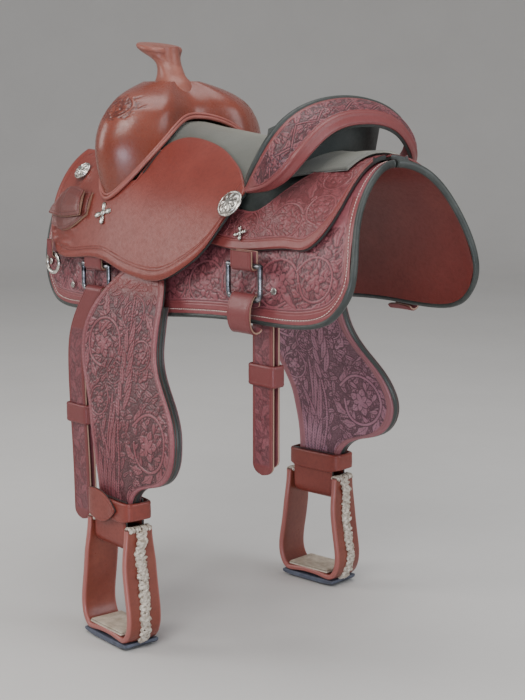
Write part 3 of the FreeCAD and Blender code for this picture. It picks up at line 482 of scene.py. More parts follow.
def mix(tree, factor, a, b):
    made = tree.nodes.new("ShaderNodeMix")
    made.data_type = "RGBA"
    for socket, value in ((made.inputs[0], factor), (made.inputs[6], a), (made.inputs[7], b)):
        if isinstance(value, bpy.types.NodeSocket):
            tree.links.new(value, socket)
        else:
            socket.default_value = value
    return made.outputs[2]


def attribute(tree, name):
    made = tree.nodes.new("ShaderNodeAttribute")
    made.attribute_name = name
    return made.outputs["Fac"]


def spread(tree, value, low, high, to_low=0.0, to_high=1.0):
    made = tree.nodes.new("ShaderNodeMapRange")
    tree.links.new(value, made.inputs[0])
    for i, v in enumerate((low, high, to_low, to_high), start=1):
        made.inputs[i].default_value = v
    return made.outputs[0]


def place(tree):
    return tree.nodes.new("ShaderNodeTexCoord").outputs["Object"]


def noise(tree, at, scale, **sockets):
    return node(tree, "ShaderNodeTexNoise", Vector=at, Scale=scale, **sockets).outputs["Fac"]


def put_bump(tree, shader, height, strength, distance):
    lift = node(tree, "ShaderNodeBump", Height=height, Strength=strength, Distance=distance)
    tree.links.new(lift.outputs[0], shader.inputs["Normal"])


def leather(name, colour, light, dark, edge, tint=None, rough=0.42, grain=650.0, bump_depth=0.25,
            coat=0.2):
    """Oiled leather: mottled colour, pebbled grain, darker carved ground and a burnished edge.

    Point attributes: tool is carved depth, edge is 1 on cut edges, tint is 1 on leather left smooth.
    """
    material, tree, shader = nodes_of(name)
    at = place(tree)
    cloud = noise(tree, at, 14.0, Detail=5.0, Roughness=0.6)
    fine = noise(tree, at, 160.0, Detail=4.0, Roughness=0.65)
    pebble = node(tree, "ShaderNodeTexVoronoi", Vector=at, Scale=grain).outputs["Distance"]
    base = mix(tree, spread(tree, cloud, 0.35, 0.68), (*colour, 1), (*light, 1))
    worn = mix(tree, spread(tree, fine, 0.45, 0.8, 0.0, 0.35), base, (*dark, 1))
    ground = spread(tree, attribute(tree, "tool"), 0.22, 1.10, 0.0, 0.88)
    carved_colour = mix(tree, ground, worn, (*dark, 1))
    dyed = mix(tree, attribute(tree, "tint"), carved_colour, (*(tint or light), 1))
    edged = mix(tree, attribute(tree, "edge"), dyed, (*edge, 1))
    tree.links.new(edged, shader.inputs["Base Color"])
    tree.links.new(spread(tree, fine, 0.3, 0.75, rough - 0.08, rough + 0.14), shader.inputs["Roughness"])
    shader.inputs["Specular IOR Level"].default_value = 0.38
    shader.inputs["Coat Weight"].default_value = coat
    shader.inputs["Coat Roughness"].default_value = 0.28
    lift = node(tree, "ShaderNodeBump", Height=pebble, Strength=bump_depth, Distance=0.0004)
    second = node(tree, "ShaderNodeBump", Height=fine, Strength=0.25, Distance=0.0012, Normal=lift.outputs[0])
    tree.links.new(second.outputs[0], shader.inputs["Normal"])
    return material


DARK_EDGE = (0.032, 0.040, 0.037)
PALE_EDGE = (0.330, 0.200, 0.140)
PLAIN = leather("plain_leather", (0.178, 0.030, 0.020), (0.215, 0.042, 0.030), (0.070, 0.012, 0.009),
                DARK_EDGE, rough=0.40, coat=0.20)
TOOLED = leather("tooled_leather", (0.200, 0.052, 0.060), (0.260, 0.084, 0.097), (0.042, 0.011, 0.014),
                 DARK_EDGE, tint=(0.188, 0.040, 0.036), rough=0.40, coat=0.28)
STRAP = leather("strap_leather", (0.180, 0.046, 0.054), (0.230, 0.074, 0.086), (0.042, 0.011, 0.014),
                PALE_EDGE, tint=(0.150, 0.027, 0.024), rough=0.40, coat=0.25)
# Lighter, bluer copy of the tooled leather for the fenders' inner faces: painted sheen of cool light on the
# far fender, partly dust.
INNER_SHEEN_AND_DUST = leather("fender_inner_leather", (0.345, 0.150, 0.195), (0.440, 0.212, 0.270), (0.078, 0.028, 0.040),
                DARK_EDGE, tint=(0.300, 0.110, 0.120), rough=0.38, coat=0.3)
CARRIER = leather("carrier_leather", (0.125, 0.028, 0.022), (0.165, 0.040, 0.033), (0.045, 0.010, 0.010),
                  PALE_EDGE, rough=0.36, coat=0.35)
HORN = leather("horn_leather", (0.235, 0.072, 0.050), (0.320, 0.115, 0.083), (0.130, 0.033, 0.024),
               PALE_EDGE, rough=0.42)
UNDERSIDE = leather("lining_leather", (0.125, 0.016, 0.012), (0.155, 0.024, 0.018), (0.055, 0.008, 0.007),
                    DARK_EDGE, rough=0.42, grain=420.0)
# Near-black binding leather; also dressed on the tree bars, seat strainer and cantle board as painted shade
# in gaps and hollows.
BINDING_AND_SHADE = leather("binding_and_shade_leather", (0.026, 0.032, 0.029), (0.050, 0.058, 0.052), (0.012, 0.013, 0.013),
                  DARK_EDGE, rough=0.5)
WOODEN = leather("stirrup_leather_cover", (0.165, 0.031, 0.018), (0.210, 0.052, 0.032), (0.070, 0.013, 0.010),
                 (0.330, 0.105, 0.088), rough=0.34, grain=500.0, bump_depth=0.12, coat=0.35)
SWELL = leather("swell_leather", (0.175, 0.036, 0.020), (0.225, 0.056, 0.034), (0.055, 0.011, 0.009),
                DARK_EDGE, rough=0.28, bump_depth=0.15, coat=0.5)
LIP = leather("lip_leather", (0.270, 0.076, 0.060), (0.340, 0.115, 0.094), (0.140, 0.038, 0.032), DARK_EDGE)


def suede():
    material, tree, shader = nodes_of("seat_suede")
    at = place(tree)
    cloud = noise(tree, at, 9.0, Detail=6.0, Roughness=0.6)
    nap = noise(tree, at, 900.0, Detail=3.0)
    colour = mix(tree, spread(tree, cloud, 0.35, 0.7), (0.060, 0.062, 0.052, 1), (0.110, 0.112, 0.096, 1))
    napped = mix(tree, spread(tree, nap, 0.4, 0.7, 0.0, 0.5), colour, (0.030, 0.032, 0.028, 1))
    tree.links.new(napped, shader.inputs["Base Color"])
    shader.inputs["Roughness"].default_value = 0.62
    shader.inputs["Sheen Weight"].default_value = 0.6
    shader.inputs["Sheen Roughness"].default_value = 0.45
    shader.inputs["Sheen Tint"].default_value = (0.80, 0.80, 0.70, 1)
    put_bump(tree, shader, nap, 0.35, 0.0006)
    return material


def metal(name, colour, dark, rough, scale=60.0):
    """Metal with tarnish in patches and fine scratches."""
    material, tree, shader = nodes_of(name)
    at = place(tree)
    patches = noise(tree, at, scale, Detail=6.0, Roughness=0.65)
    marks = noise(tree, at, scale * 12, Detail=3.0)
    stain = mix(tree, spread(tree, patches, 0.38, 0.62), (*dark, 1), (*colour, 1))
    cut = mix(tree, spread(tree, attribute(tree, "tool"), 0.1, 0.9), stain, (*dark, 1))
    tree.links.new(cut, shader.inputs["Base Color"])
    tree.links.new(spread(tree, patches, 0.3, 0.7, rough + 0.18, rough), shader.inputs["Roughness"])
    shader.inputs["Metallic"].default_value = 1.0
    put_bump(tree, shader, marks, 0.12, 0.0003)
    return material


def dry(name, colour, dark, rough, scale, depth=0.4):
    """Matt material with a mottled colour and a fine bump: wood, rubber, rawhide, thread."""
    material, tree, shader = nodes_of(name)
    at = place(tree)
    cloud = noise(tree, at, scale, Detail=6.0, Roughness=0.6)
    fine = noise(tree, at, scale * 9, Detail=3.0)
    mottled = mix(tree, spread(tree, cloud, 0.35, 0.65), (*dark, 1), (*colour, 1))
    tree.links.new(mottled, shader.inputs["Base Color"])
    tree.links.new(spread(tree, fine, 0.3, 0.7, rough - 0.08, rough + 0.1), shader.inputs["Roughness"])
    put_bump(tree, shader, fine, depth, 0.0008)
    return material


SUEDE = suede()
SILVER = metal("silver", (0.80, 0.78, 0.72), (0.30, 0.28, 0.25), 0.18, 140.0)
STEEL = metal("ring_steel", (0.30, 0.31, 0.33), (0.035, 0.035, 0.040), 0.24, 90.0)
RAWHIDE = dry("rawhide", (0.72, 0.66, 0.56), (0.30, 0.24, 0.18), 0.50, 160.0, 0.6)
THREAD = dry("thread", (0.70, 0.56, 0.50), (0.50, 0.36, 0.32), 0.60, 300.0)
TREAD = dry("tread_leather", (0.62, 0.55, 0.44), (0.40, 0.33, 0.25), 0.55, 70.0)
RUBBER = dry("tread_rubber", (0.095, 0.110, 0.150), (0.050, 0.058, 0.082), 0.42, 60.0)
TREE_WOOD = dry("tree_rawhide", (0.46, 0.36, 0.24), (0.30, 0.22, 0.14), 0.50, 30.0)


def dress(material, *names):
    """Gives CAD nodes a material of this scene."""
    for name in names:
        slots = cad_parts[name].data.materials
        for i in range(len(slots)):
            slots[i] = material


# ---- skirts
def back_grid(edge_a, edge_b, rows, columns, off, pack=1.0):
    """Grid on the back between two edge curves of (x, angle); pack above 1 gathers columns at edge_b."""
    t = 1 - (1 - np.linspace(0, 1, columns)) ** pack
    flat = between(spline(edge_a, rows), spline(edge_b, rows), t)
    x, angle = flat[..., 0], flat[..., 1]
    return x, angle, on_back(x, angle, off(x, angle) if callable(off) else off)


def raised(grid, normals, height):
    return grid + normals * height[..., None]


def outward(grid):
    """Normals of a near-side grid that point away from the horse."""
    normals = grid_normals(grid)
    middle = normals[normals.shape[0] // 2, normals.shape[1] // 2]
    return normals if middle[1] < 0.3 and (middle[1] < 0 or middle[2] > 0) else -normals


def rounded(distance, radius):
    """How far a rounded border drops at a distance from the edge."""
    t = np.clip(distance / radius, 0, 1)
    return radius * (1 - np.sqrt(np.clip(1 - (1 - t) ** 2, 0, 1)))


def skirt_pattern():
    """Scrolls along the skirt's lower half, in x and 4 mm for each degree."""
    pattern = Carving((-380, 190), (420, 400), seed=11)
    pattern.scatter(950, 26, 9)
    places = [(-318, 332, 42, 200, 1), (-232, 335, 44, 20, -1), (-146, 332, 42, 200, 1),
              (-58, 325, 40, 20, -1), (28, 318, 38, 200, 1), (108, 312, 38, 20, -1), (184, 306, 36, 200, 1),
              (262, 302, 40, 20, -1), (334, 292, 34, 200, 1)]
    for x, down in (place[:2] for place in places):
        pattern.leaf(x + 44, down + 34, 200, 60, 20, curl=0.3, lobes=3)
        pattern.leaf(x + 46, down - 34, 150, 60, 18, curl=-0.3, lobes=3)
        pattern.leaf(x + 30, down - 52, 250, 44, 16, curl=0.4, lobes=2)
    for scroll in places:
        pattern.scroll(*scroll)
    return pattern


SKIRT_SEEN_BELOW = 150      # mm down from the spine; above it the jockeys cover the skirt
DEEPEST = 1.5               # carved depth in mm that gets the darkest colour


def make_skirt(side):
    rows, columns = 601, 181
    x, angle, grid = back_grid(SKIRT_TOP, SKIRT_BOTTOM, rows, columns, 0.0, pack=2.0)
    normals = outward(grid)
    inset = nearest_border(grid, FIRST_ROW, LAST_ROW, LAST_COLUMN)
    down = angle * DROP_PER_DEGREE
    seen = down > SKIRT_SEEN_BELOW
    field = ease((inset - 24) / 2.0) * ease((down - 205) / 4.0)
    height = carved(SKIRT_CARVING, field, x, down) * 0.9
    height = height + line_groove(inset, 22.0) + 0.7 * line_groove(inset, 17.5, 0.7)
    height = height - 0.8 * bump((inset - 8.0) / 2.2)
    outer = raised(grid, normals, height * seen)
    inner = on_back(x, angle, -SKIRT)
    smooth = ease((23 - inset) / 3) * seen
    piece = panel("skirt_leather_" + side, outer, inner, TOOLED, np.clip(-height, 0, DEEPEST) * seen, side,
                  bulge=0.0, colour=0.55 * smooth)
    belongs(piece, "saddle", "skirt_" + side)


def skirt_rim(out, count=900):
    """Skirt's rear, bottom and front edge moved outwards, as points of (x, angle)."""
    rear = [(352 + 48 * t, 1 + 72 * t) for t in (0.0, 0.35, 0.7)]
    front = [(-352 - 10 * t, 76 - 52 * t) for t in (0.3, 0.65, 1.0)]
    path = spline(rear + list(reversed(SKIRT_BOTTOM)) + front, count)
    step = unit(np.gradient(path, axis=0) * [1, DROP_PER_DEGREE])
    return np.stack([path[:, 0] + out * step[:, 1], path[:, 1] - out * step[:, 0] / DROP_PER_DEGREE], axis=1)


def binding_roll():
    """Rolled leather binding round the near skirt and its lining."""
    count, sides = 420, 16
    middle = skirt_rim(1.2, count)
    across = (skirt_rim(5.2, count) - middle)
    ring = []
    for turn in round_turn(sides):
        out = 4.4 * math.cos(turn) / 4.0
        off = -4.6 + 6.2 * math.sin(turn)
        path = middle + across * out
        ring.append(on_back(path[:, 0], path[:, 1], off))
    points = np.stack(ring, axis=1).reshape(-1, 3)
    ends = [np.arange(sides)[None, ::-1], ((count - 1) * sides + np.arange(sides))[None]]
    return points, [quads(count, sides, closed=True)] + ends


def stitches(path, normals, pitch, length, radius, parts):
    """Row of short threads lying along a path on a surface."""
    steps = lengths(path)
    arch = np.array([-0.6, 0.15, 0.35, 0.15, -0.6])
    for at in np.arange(pitch, steps[-1] - pitch, pitch):
        ends = [at - length / 2, at - length / 4, at, at + length / 4, at + length / 2]
        centre = np.stack([np.interp(ends, steps, path[:, k]) for k in range(3)], axis=1)
        up = np.array([np.interp(at, steps, normals[:, k]) for k in range(3)])
        parts.append(tube(centre + up * arch[:, None] * radius * 2, radius, sides=5))


def make_skirt_trim():
    """Seams of pale thread on both skirts, and the rolled binding of both in one piece."""
    sets, seams = [], []
    rim = skirt_rim(-8.0, 500)
    seam = on_back(rim[:, 0], rim[:, 1], 0.0)
    normals = unit(on_back(rim[:, 0], rim[:, 1], 1.0) - seam)
    stitches(seam, normals, 5.2, 3.9, 0.62, seams)
    for side in SIDES:
        sets.append(mirror_mesh(*binding_roll(), side))
        thread = solid_object("skirt_stitching_" + side, seams, THREAD, side)
        belongs(thread, "saddle")
    binding = solid_object("skirt_binding_roll", sets, BINDING_AND_SHADE)
    belongs(binding, "saddle", "skirt_bindings")


SKIRT_CARVING = skirt_pattern()
for side_name in SIDES:
    make_skirt(side_name)
make_skirt_trim()
dress(UNDERSIDE, "skirt_linings")


# ---- jockeys
def make_seat_jockey(side):
    """Plain seat jockey with a double border line and soft folds at its lower front."""
    rows, columns = 321, 161
    x, angle, grid = back_grid(JOCKEY_TOP, JOCKEY_BOTTOM, rows, columns,
                               lambda a, b: body_offset(a, b) + GAP + JOCKEY)
    normals = outward(grid)
    rear, front, top, bottom = border_distance(grid)
    inset = np.minimum(np.minimum(front, rear), bottom)
    height = -rounded(np.minimum(inset, top), 3.2)
    outer_line, inner_line = line_groove(inset, 15.0, 1.0), line_groove(inset, 19.5, 0.8)
    height = height + 0.9 * outer_line + 0.8 * inner_line
    height = height + 0.5 * bump((inset - 8.0) / 6.0)
    near_front = ease((-215 - x) / 40) * ease((angle - 58) / 6)
    folds = 1.9 * np.sin((angle - 60) * 1.05 + 2.4 * np.sin((x + 300) / 34)) * near_front
    puff = 0.8 * np.sin(x / 47 + angle / 11) * np.sin(angle / 9 - x / 83)
    outer = raised(grid, normals, height + (folds + puff) * ease(inset / 14) * ease(top / 14))
    inner = on_back(x, angle, body_offset(x, angle) + GAP)
    groove = np.clip(-outer_line - inner_line, 0, 1)
    piece = panel("seat_jockey_leather_" + side, outer, inner, PLAIN, 0.75 * groove, side, bulge=0.4)
    belongs(piece, "saddle", "seat_jockey_" + side)


def rear_pattern():
    """Scrolls round the rear jockey's corner, in x and 4 mm for each degree."""
    pattern = Carving((80, 0), (370, 270), seed=5)
    pattern.scatter(420, 24, 8)
    places = [(262, 205, 30, 200, 1), (178, 214, 24, 20, -1), (320, 180, 26, 90, 1),
              (318, 118, 24, 200, -1), (325, 62, 22, 20, 1), (335, 20, 18, 90, 1), (122, 214, 22, 200, 1)]
    for x, down, radius in (place[:3] for place in places):
        pattern.leaf(x - 8, down + radius, 10, 46, 14, curl=0.3, lobes=2)
        pattern.leaf(x + 12, down - radius, 170, 46, 14, curl=-0.3, lobes=2)
        pattern.leaf(x - 30, down - 18, 240, 40, 14, curl=0.3, lobes=2)
    for scroll in places:
        pattern.scroll(*scroll)
    return pattern


def make_rear_jockey(side):
    """Carved rear jockey that rides up over the tree bar, with a dark border."""
    rows, columns = 321, 161
    x, angle, grid = back_grid(REAR_TOP, REAR_BOTTOM, rows, columns, lambda a, b: rear_offset(a, b) + JOCKEY)
    normals = outward(grid)
    rear, top, bottom = border_distance(grid)[1:]
    inset = np.minimum(rear + 8, bottom)
    field = ease((inset - 19) / 1.6) * ease((top - 3) / 2)
    height = carved(REAR_CARVING, field, x, angle * DROP_PER_DEGREE) * 0.85
    height = height - rounded(np.minimum(inset, top), 3.0)
    height = height + line_groove(inset, 17.0) + 0.6 * line_groove(inset, 13.5, 0.6)
    outer = raised(grid, normals, height)
    inner = on_back(x, angle, rear_offset(x, angle))
    tool = np.clip(-height - rounded(np.minimum(inset, top), 3.0), 0, DEEPEST)
    piece = panel("rear_jockey_leather_" + side, outer, inner, TOOLED, tool, side, bulge=0.5,
                  colour=0.6 * ease((18 - inset) / 2) + 0.35)
    belongs(piece, "saddle", "rear_jockey_" + side)


REAR_CARVING = rear_pattern()
for side_name in SIDES:
    make_seat_jockey(side_name)
    make_rear_jockey(side_name)


# ---- swell and horn
SWELL_LEVELS = [(-62, 156, 56), (-30, 166, 70), (5, 174, 79), (40, 177, 81), (80, 165, 79), (98, 152, 74),
                (117, 130, 64), (134, 94, 50), (146, 54, 40)]
SWELL_X, SWELL_WAIST, SWELL_LEAN_Z, SWELL_LEAN = -148.0, 0.5, 95.0, 0.009
GULLET_RADIUS, PATCH_Z = 56.0, 102


def swell_grid(levels, columns):
    """Closed level sections of the swell: ovals with a waist on the rear side."""
    spine = spline([(y, x, z) for z, y, x in SWELL_LEVELS], levels)
    turn = math.pi + round_turn(columns)
    rows = []
    for half_y, half_x, z in spine:
        centre = SWELL_X - SWELL_LEAN * max(z - SWELL_LEAN_Z, 0.0) ** 2
        y = half_y * np.sin(turn)
        reach = half_x * np.cos(turn)
        waist = SWELL_WAIST + (1 - SWELL_WAIST) * ease(np.abs(y) / (0.62 * half_y))
        reach = np.where(reach > 0, reach * waist, reach)
        rows.append(np.stack([centre + reach, y, np.full(columns, z)], axis=1))
    return np.array(rows)


def height_over_back(points):
    """How far points stand off the skirts, and the angle of the place below them."""
    angles = np.linspace(0, 96, 193)
    off, best = np.full(len(points), 1e9), np.zeros(len(points))
    for angle in angles:
        base = on_back(points[:, 0], angle, 0.0)
        base[:, 1] = -np.abs(base[:, 1])
        distance = np.linalg.norm(np.stack([np.zeros(len(points)), -np.abs(points[:, 1]) - base[:, 1],
                                            points[:, 2] - base[:, 2]], axis=1), axis=1)
        closer = distance < off
        off, best = np.where(closer, distance, off), np.where(closer, angle, best)
    base = on_back(points[:, 0], best, 0.0)
    outside = (np.abs(points[:, 1]) > np.abs(base[:, 1])) | (points[:, 2] > base[:, 2])
    return np.where(outside, off, -off), best


def swell_foot(grid, lift):
    """Lowest point of every column of the swell that is still above the jockeys and the gullet."""
    levels, columns = grid.shape[:2]
    flat = grid.reshape(-1, 3)
    off, angle = height_over_back(flat)
    above = off - body_offset(flat[:, 0], angle) - JOCKEY - lift
    arch = np.hypot(flat[:, 1], np.maximum(flat[:, 2], 0)) - GULLET_RADIUS - 2
    clear = np.where(flat[:, 0] < SWELL_X - 20, np.minimum(above, arch), above).reshape(levels, columns)
    foot = np.zeros((columns, 3))
    for c in range(columns):
        below = np.where(clear[:, c] < 0)[0]
        k = min(below[-1] if len(below) else 0, levels - 2)
        t = np.clip(-clear[k, c] / max(clear[k + 1, c] - clear[k, c], 1e-6), 0, 1)
        foot[c] = grid[k, c] * (1 - t) + grid[k + 1, c] * t
    return foot


def swell_pattern():
    """Three scrolls in a row, for the patch on each shoulder of the swell."""
    pattern = Carving((-120, -60), (120, 60), seed=21)
    pattern.scatter(150, 22, 8)
    for scroll in ((0, 0, 28, 30, 1), (-58, 4, 22, 200, -1), (58, -2, 22, 340, -1)):
        pattern.scroll(*scroll)
    return pattern


def make_swell():
    """Swell cover, carved on both shoulders, with a double rolled lip round its foot."""
    fine = swell_grid(241, 360)
    foot = swell_foot(fine, 1.0)
    levels, columns = 170, 360
    top = fine[-1].mean(axis=0)
    rows = []
    for i in range(levels):
        t = i / (levels - 1)
        z = foot[:, 2] * (1 - t) + fine[-1, 0, 2] * t
        index = np.interp(z, fine[:, 0, 2], np.arange(len(fine)))
        k = np.clip(index.astype(int), 0, len(fine) - 2)
        f = (index - k)[:, None]
        c = np.arange(columns)
        rows.append(fine[k, c] * (1 - f) + fine[k + 1, c] * f)
    grid = np.array(rows)
    normals = -unit(np.cross(np.gradient(grid, axis=0), np.roll(grid, -1, 1) - np.roll(grid, 1, 1)))
    # the shoulders' carved patches lie on the upper outside, measured along and round each shoulder
    along = grid[..., 0] - SWELL_X
    climb = (grid[..., 2] - PATCH_Z) * 1.35
    heading = np.arctan2(climb, along)
    ragged = 0.10 * np.sin(heading * 9) + 0.06 * np.sin(heading * 17)
    inside = 1 - np.hypot(along / 46, climb / 30) + ragged
    field = ease(inside / 0.22) * ease((np.abs(grid[..., 1]) - 62) / 14)
    height = carved(swell_pattern(), field, climb * 1.2, along) * 0.9
    round_in = rounded(np.linspace(0, 1, levels)[:, None] * 100, 2.5)
    shape = grid + normals * (height - round_in)[..., None]
    cap_rows = [shape[-1] * (1 - t) + (top + [0, 0, 5.0 * t]) * t for t in (0.25, 0.5, 0.8, 1.0)]
    points = np.concatenate([shape.reshape(-1, 3)] + cap_rows)
    faces = [quads(levels + len(cap_rows), columns, closed=True)]
    tool = np.concatenate([np.clip(-height, 0, DEEPEST).reshape(-1), np.zeros(len(cap_rows) * columns)])
    attributes = {"tool": tool, "edge": 0 * tool, "tint": 0 * tool}
    cover = make_object("swell_leather", points, faces, attributes, SWELL)
    belongs(cover, "saddle", "swell_cover")
    away = unit((foot - [SWELL_X, 0, 0]) * [1, 1, 0])
    lips = []
    for out, up, radius in ((3.4, -1.8, 3.4), (1.6, 4.0, 2.5)):
        path = foot + away * out + [0, 0, up]
        lips.append(tube(smooth_loop(path, 5), radius, 12, closed=True))
    lip = solid_object("swell_lip", lips, LIP)
    belongs(lip, "saddle", "swell_welt")


def smooth_loop(path, times):
    """Closed path with its corners averaged away."""
    for _ in range(times):
        path = 0.5 * path + 0.25 * (np.roll(path, 1, axis=0) + np.roll(path, -1, axis=0))
    return path


def tilted(points, centre, turn):
    """Points turned about the Y axis through a centre."""
    c, s = math.cos(turn), math.sin(turn)
    x, y, z = np.moveaxis(points - centre, -1, 0)
    return centre + np.stack([c * x + s * z, y, -s * x + c * z], axis=-1)


# centre (x, z), reach forwards, backwards and sideways, and lean in degrees of the horn's sections
HORN_SECTIONS = [(-168, 121, 38, 39, 50, -4), (-169, 134, 35, 36, 43, -4), (-170, 143, 31, 31.5, 34, -5),
                 (-172, 152, 26, 26.5, 27, -4), (-175, 164, 22, 23, 23, -2), (-180, 177, 22, 20, 23, 2),
                 (-188, 187, 28, 22, 29, 7), (-198, 194.5, 36, 31, 36, 9), (-202, 199, 40, 36, 39, 9)]
CAP_SECTIONS = [(-202.5, 199.5, 40.5, 36.5, 39.3, 9), (-203.5, 203.8, 43, 38, 40.5, 9),
                (-204, 206.4, 42, 37.5, 39.5, 9), (-204, 208.0, 36, 32.5, 34, 9),
                (-203, 209.3, 17, 16, 16, 9), (-203, 209.6, 0.3, 0.3, 0.3, 9)]


def horn_part(sections, count, folds):
    """Skin over oval sections, with soft wrap folds on the neck."""
    sides = 96
    turn = round_turn(sides)
    rings = []
    for x, z, ahead, behind, sideways, lean in spline(sections, count):
        reach = np.where(np.cos(turn) < 0, ahead, behind)
        fold = 1 + folds * np.sin(5 * turn + z / 8.0) * ease((z - 138) / 12) * ease((196 - z) / 12)
        ring = np.stack([x + reach * fold * np.cos(turn), sideways * fold * np.sin(turn),
                         np.full(sides, z)], axis=1)
        rings.append(tilted(ring, np.array([x, 0.0, z]), math.radians(lean)))
    return np.array(rings).reshape(-1, 3), [quads(count, sides, closed=True)]


def make_horn():
    """Wrapped horn that flares into the swell, and its thin cap, higher in front."""
    neck = solid_object("horn_leather_wrap", [horn_part(HORN_SECTIONS, 70, 0.022)], HORN)
    cap = solid_object("horn_leather_cap", [horn_part(CAP_SECTIONS, 50, 0.0)], HORN)
    for piece, cad in ((neck, "horn_wrap"), (cap, "horn_cap")):
        belongs(piece, "saddle", cad)


make_swell()
make_horn()
dress(TREE_WOOD, "fork")
# The tree bars and seat strainer take the near-black binding leather as painted shade in the gap between the
# skirts and the jockeys.
dress(BINDING_AND_SHADE, "seat_strainer", "tree_bars")
dress(HORN, "horn_core", "horn_bolts")
dress(STEEL, "gullet_plate")


# ---- cantle
RIM = [(247, 0, 124), (247, -55, 119), (247, -100, 106), (246, -137, 84), (240, -161, 56), (222, -168, 24),
       (198, -158, 4), (176, -144, -9)]
ROLL_EDGE = [(293, 0, 86), (293, -45, 82), (292, -80, 69), (288, -108, 47), (280, -128, 24), (262, -138, 2),
             (232, -142, -14), (196, -146, -20)]


ROLL_THICK = 9.0


def two_sided(points, count):
    """Curve through points of the near side and their mirror images on the far side."""
    near = [tuple(p) for p in points]
    far = [(x, -y, z) for x, y, z in near[1:]]
    return spline(list(reversed(near)) + far, count)


def make_cantle():
    """Cantle roll: bound front rim, carved band, light ridge and smooth lower border, hollow below."""
    rows, columns = 561, 81
    rim, edge = two_sided(RIM, rows), two_sided(ROLL_EDGE, rows)
    across = edge - rim
    out = -unit(np.cross(unit(np.gradient(rim, axis=0)), across))
    t = np.linspace(0, 1, columns)
    arch = ROLL_THICK * np.sin(math.pi * t)
    middle = between(rim, edge, t)
    width = np.linalg.norm(across, axis=1)[:, None]
    from_rim, from_edge = t[None] * width, (1 - t[None]) * width
    steps = lengths((rim + edge) / 2)
    along = np.broadcast_to(steps[:, None], (rows, columns))
    to_tip = np.minimum(along, along[-1:] - along)
    carving = Carving((0, -30), (float(steps[-1]), 60), seed=31)
    carving.scatter(330, 22, 8)
    vine = [(20 + (steps[-1] - 40) * i / 16, 8 + (9 if i % 2 else -9)) for i in range(17)]
    for i, (x, y) in enumerate(vine):
        way = 1 if i % 2 else -1
        carving.leaf(x, y, 30 * way, 38, 13, curl=0.35 * way, lobes=2)
        carving.leaf(x + 6, y - 10 * way, 150 * way, 30, 11, curl=0.4 * way, lobes=2)
    for i in range(16):
        carving.stem([vine[i], ((vine[i][0] + vine[i + 1][0]) / 2, 8), vine[i + 1]], 2.2)
    for x, y in vine[2::4]:
        carving.flower(x, 8, 11)
    field = ease((from_rim - 5) / 2) * ease((from_edge - 21) / 2) * ease((to_tip - 34) / 8)
    height = carved(carving, field, along, from_rim - 18) * 1.1
    height = height + 1.5 * bump((from_edge - 15) / 5.0) - 0.8 * bump((from_edge - 20) / 1.8)
    height = height - rounded(np.minimum(from_rim, from_edge), 3.0)
    outer = middle + out[:, None] * (arch[None] + height)[..., None]
    inner = middle + out[:, None] * (arch - ROLL_THICK)[None, :, None]
    outer, inner, height, field = outer[::-1], inner[::-1], height[::-1], field[::-1]
    roll = panel("cantle_roll_leather", outer, inner, TOOLED, np.clip(-height, 0, DEEPEST) * field, bulge=0.6,
                 colour=0.75 * (1 - field))
    belongs(roll, "saddle", "cantle_roll")
    path = rim + out * -3.5 - unit(across) * 1.5
    binding = solid_object("cantle_rim_binding", [tube(path, 5.0, 12)], BINDING_AND_SHADE)
    belongs(binding, "saddle")


make_cantle()
# The cantle board and back take the near-black binding leather: a dark cover, whose darkness also paints the
# shade in the hollow under the roll.
dress(BINDING_AND_SHADE, "cantle_board", "cantle_back")


# ---- seat
SEAT_UNDER, SEAT_LEAST = 15.0, 19.0      # offsets of its underside, and the least of its top, off the skirts


def make_seat():
    """Suede seat over foam: a crowned form with a rolled border, high under the swell."""
    rows, columns = 181, 121
    near = [(-112, -36), (0, -35), (160, -34), (205, -29), (325, -25)]
    far = [(x, -angle) for x, angle in near]
    flat = between(spline(near, rows), spline(far, rows), np.linspace(0, 1, columns))
    x, angle = flat[..., 0], flat[..., 1]
    low = on_back(x, angle, SEAT_UNDER)
    grid = on_back(x, angle, np.maximum(body_offset(x, angle), SEAT_LEAST))
    normals = -grid_normals(grid)
    inset = nearest_border(grid, *ALL_SIDES)
    wrinkle = 0.5 * np.sin(x / 9.0 + 3 * np.sin(angle / 14)) * bump((x - 150) / 60) * bump(angle / 40)
    crown = 1.6 * ease(inset / 40) * (1 - 0.6 * ease((x + 20) / -60))
    outer = raised(grid, normals, crown + wrinkle - rounded(inset, 4.0))
    piece = panel("seat_suede_cushion", outer[::-1], low[::-1], SUEDE, bulge=0.5)
    belongs(piece, "saddle", "seat_pad")


make_seat()


# ---- fenders
FENDER_MIDDLE = [(-640, 240), (-560, 240), (-535, 240.5), (-480, 243), (-422, 242), (-360, 231), (-300, 219),
                 (-230, 204), (-185, 188), (-165, 180), (-150, 174), (-110, 159), (-70, 140)]
FENDER_FRONT = [(-52, -76), (-52, -110), (-56, -138), (-78, -160), (-112, -192), (-140, -232), (-155, -275),
                (-150, -315), (-128, -360), (-104, -410), (-90, -460), (-80, -510), (-78, -545)]
FENDER_REAR = [(8, -76), (8, -110), (14, -138), (26, -160), (40, -196), (47, -240), (54, -284), (76, -322),
               (112, -362), (134, -402), (136, -440), (116, -472), (80, -489), (46, -500), (22, -520),
               (14, -545)]
FENDER_SKIN, FENDER_CORE, FENDER_INNER_TOP = 6.0, 8.0, -210.0
FENDER_HALF = FENDER_SKIN + FENDER_CORE / 2 + GAP
YAW_X, YAW_Y, YAW_SLOPE = -10.0, -240.0, 0.08


def fender_place(x, z, depth):
    """Points of the near fender; depth counts outwards from its middle surface."""
    middle = sum(linear(FENDER_MIDDLE, z + d) + YAW_SLOPE * (x - YAW_X) * ease((-170 - z - d) / 200)
                 for d in (-12.0, -6.0, 0.0, 6.0, 12.0)) / 5
    return np.stack(np.broadcast_arrays(x, -(middle + depth), z), axis=-1)


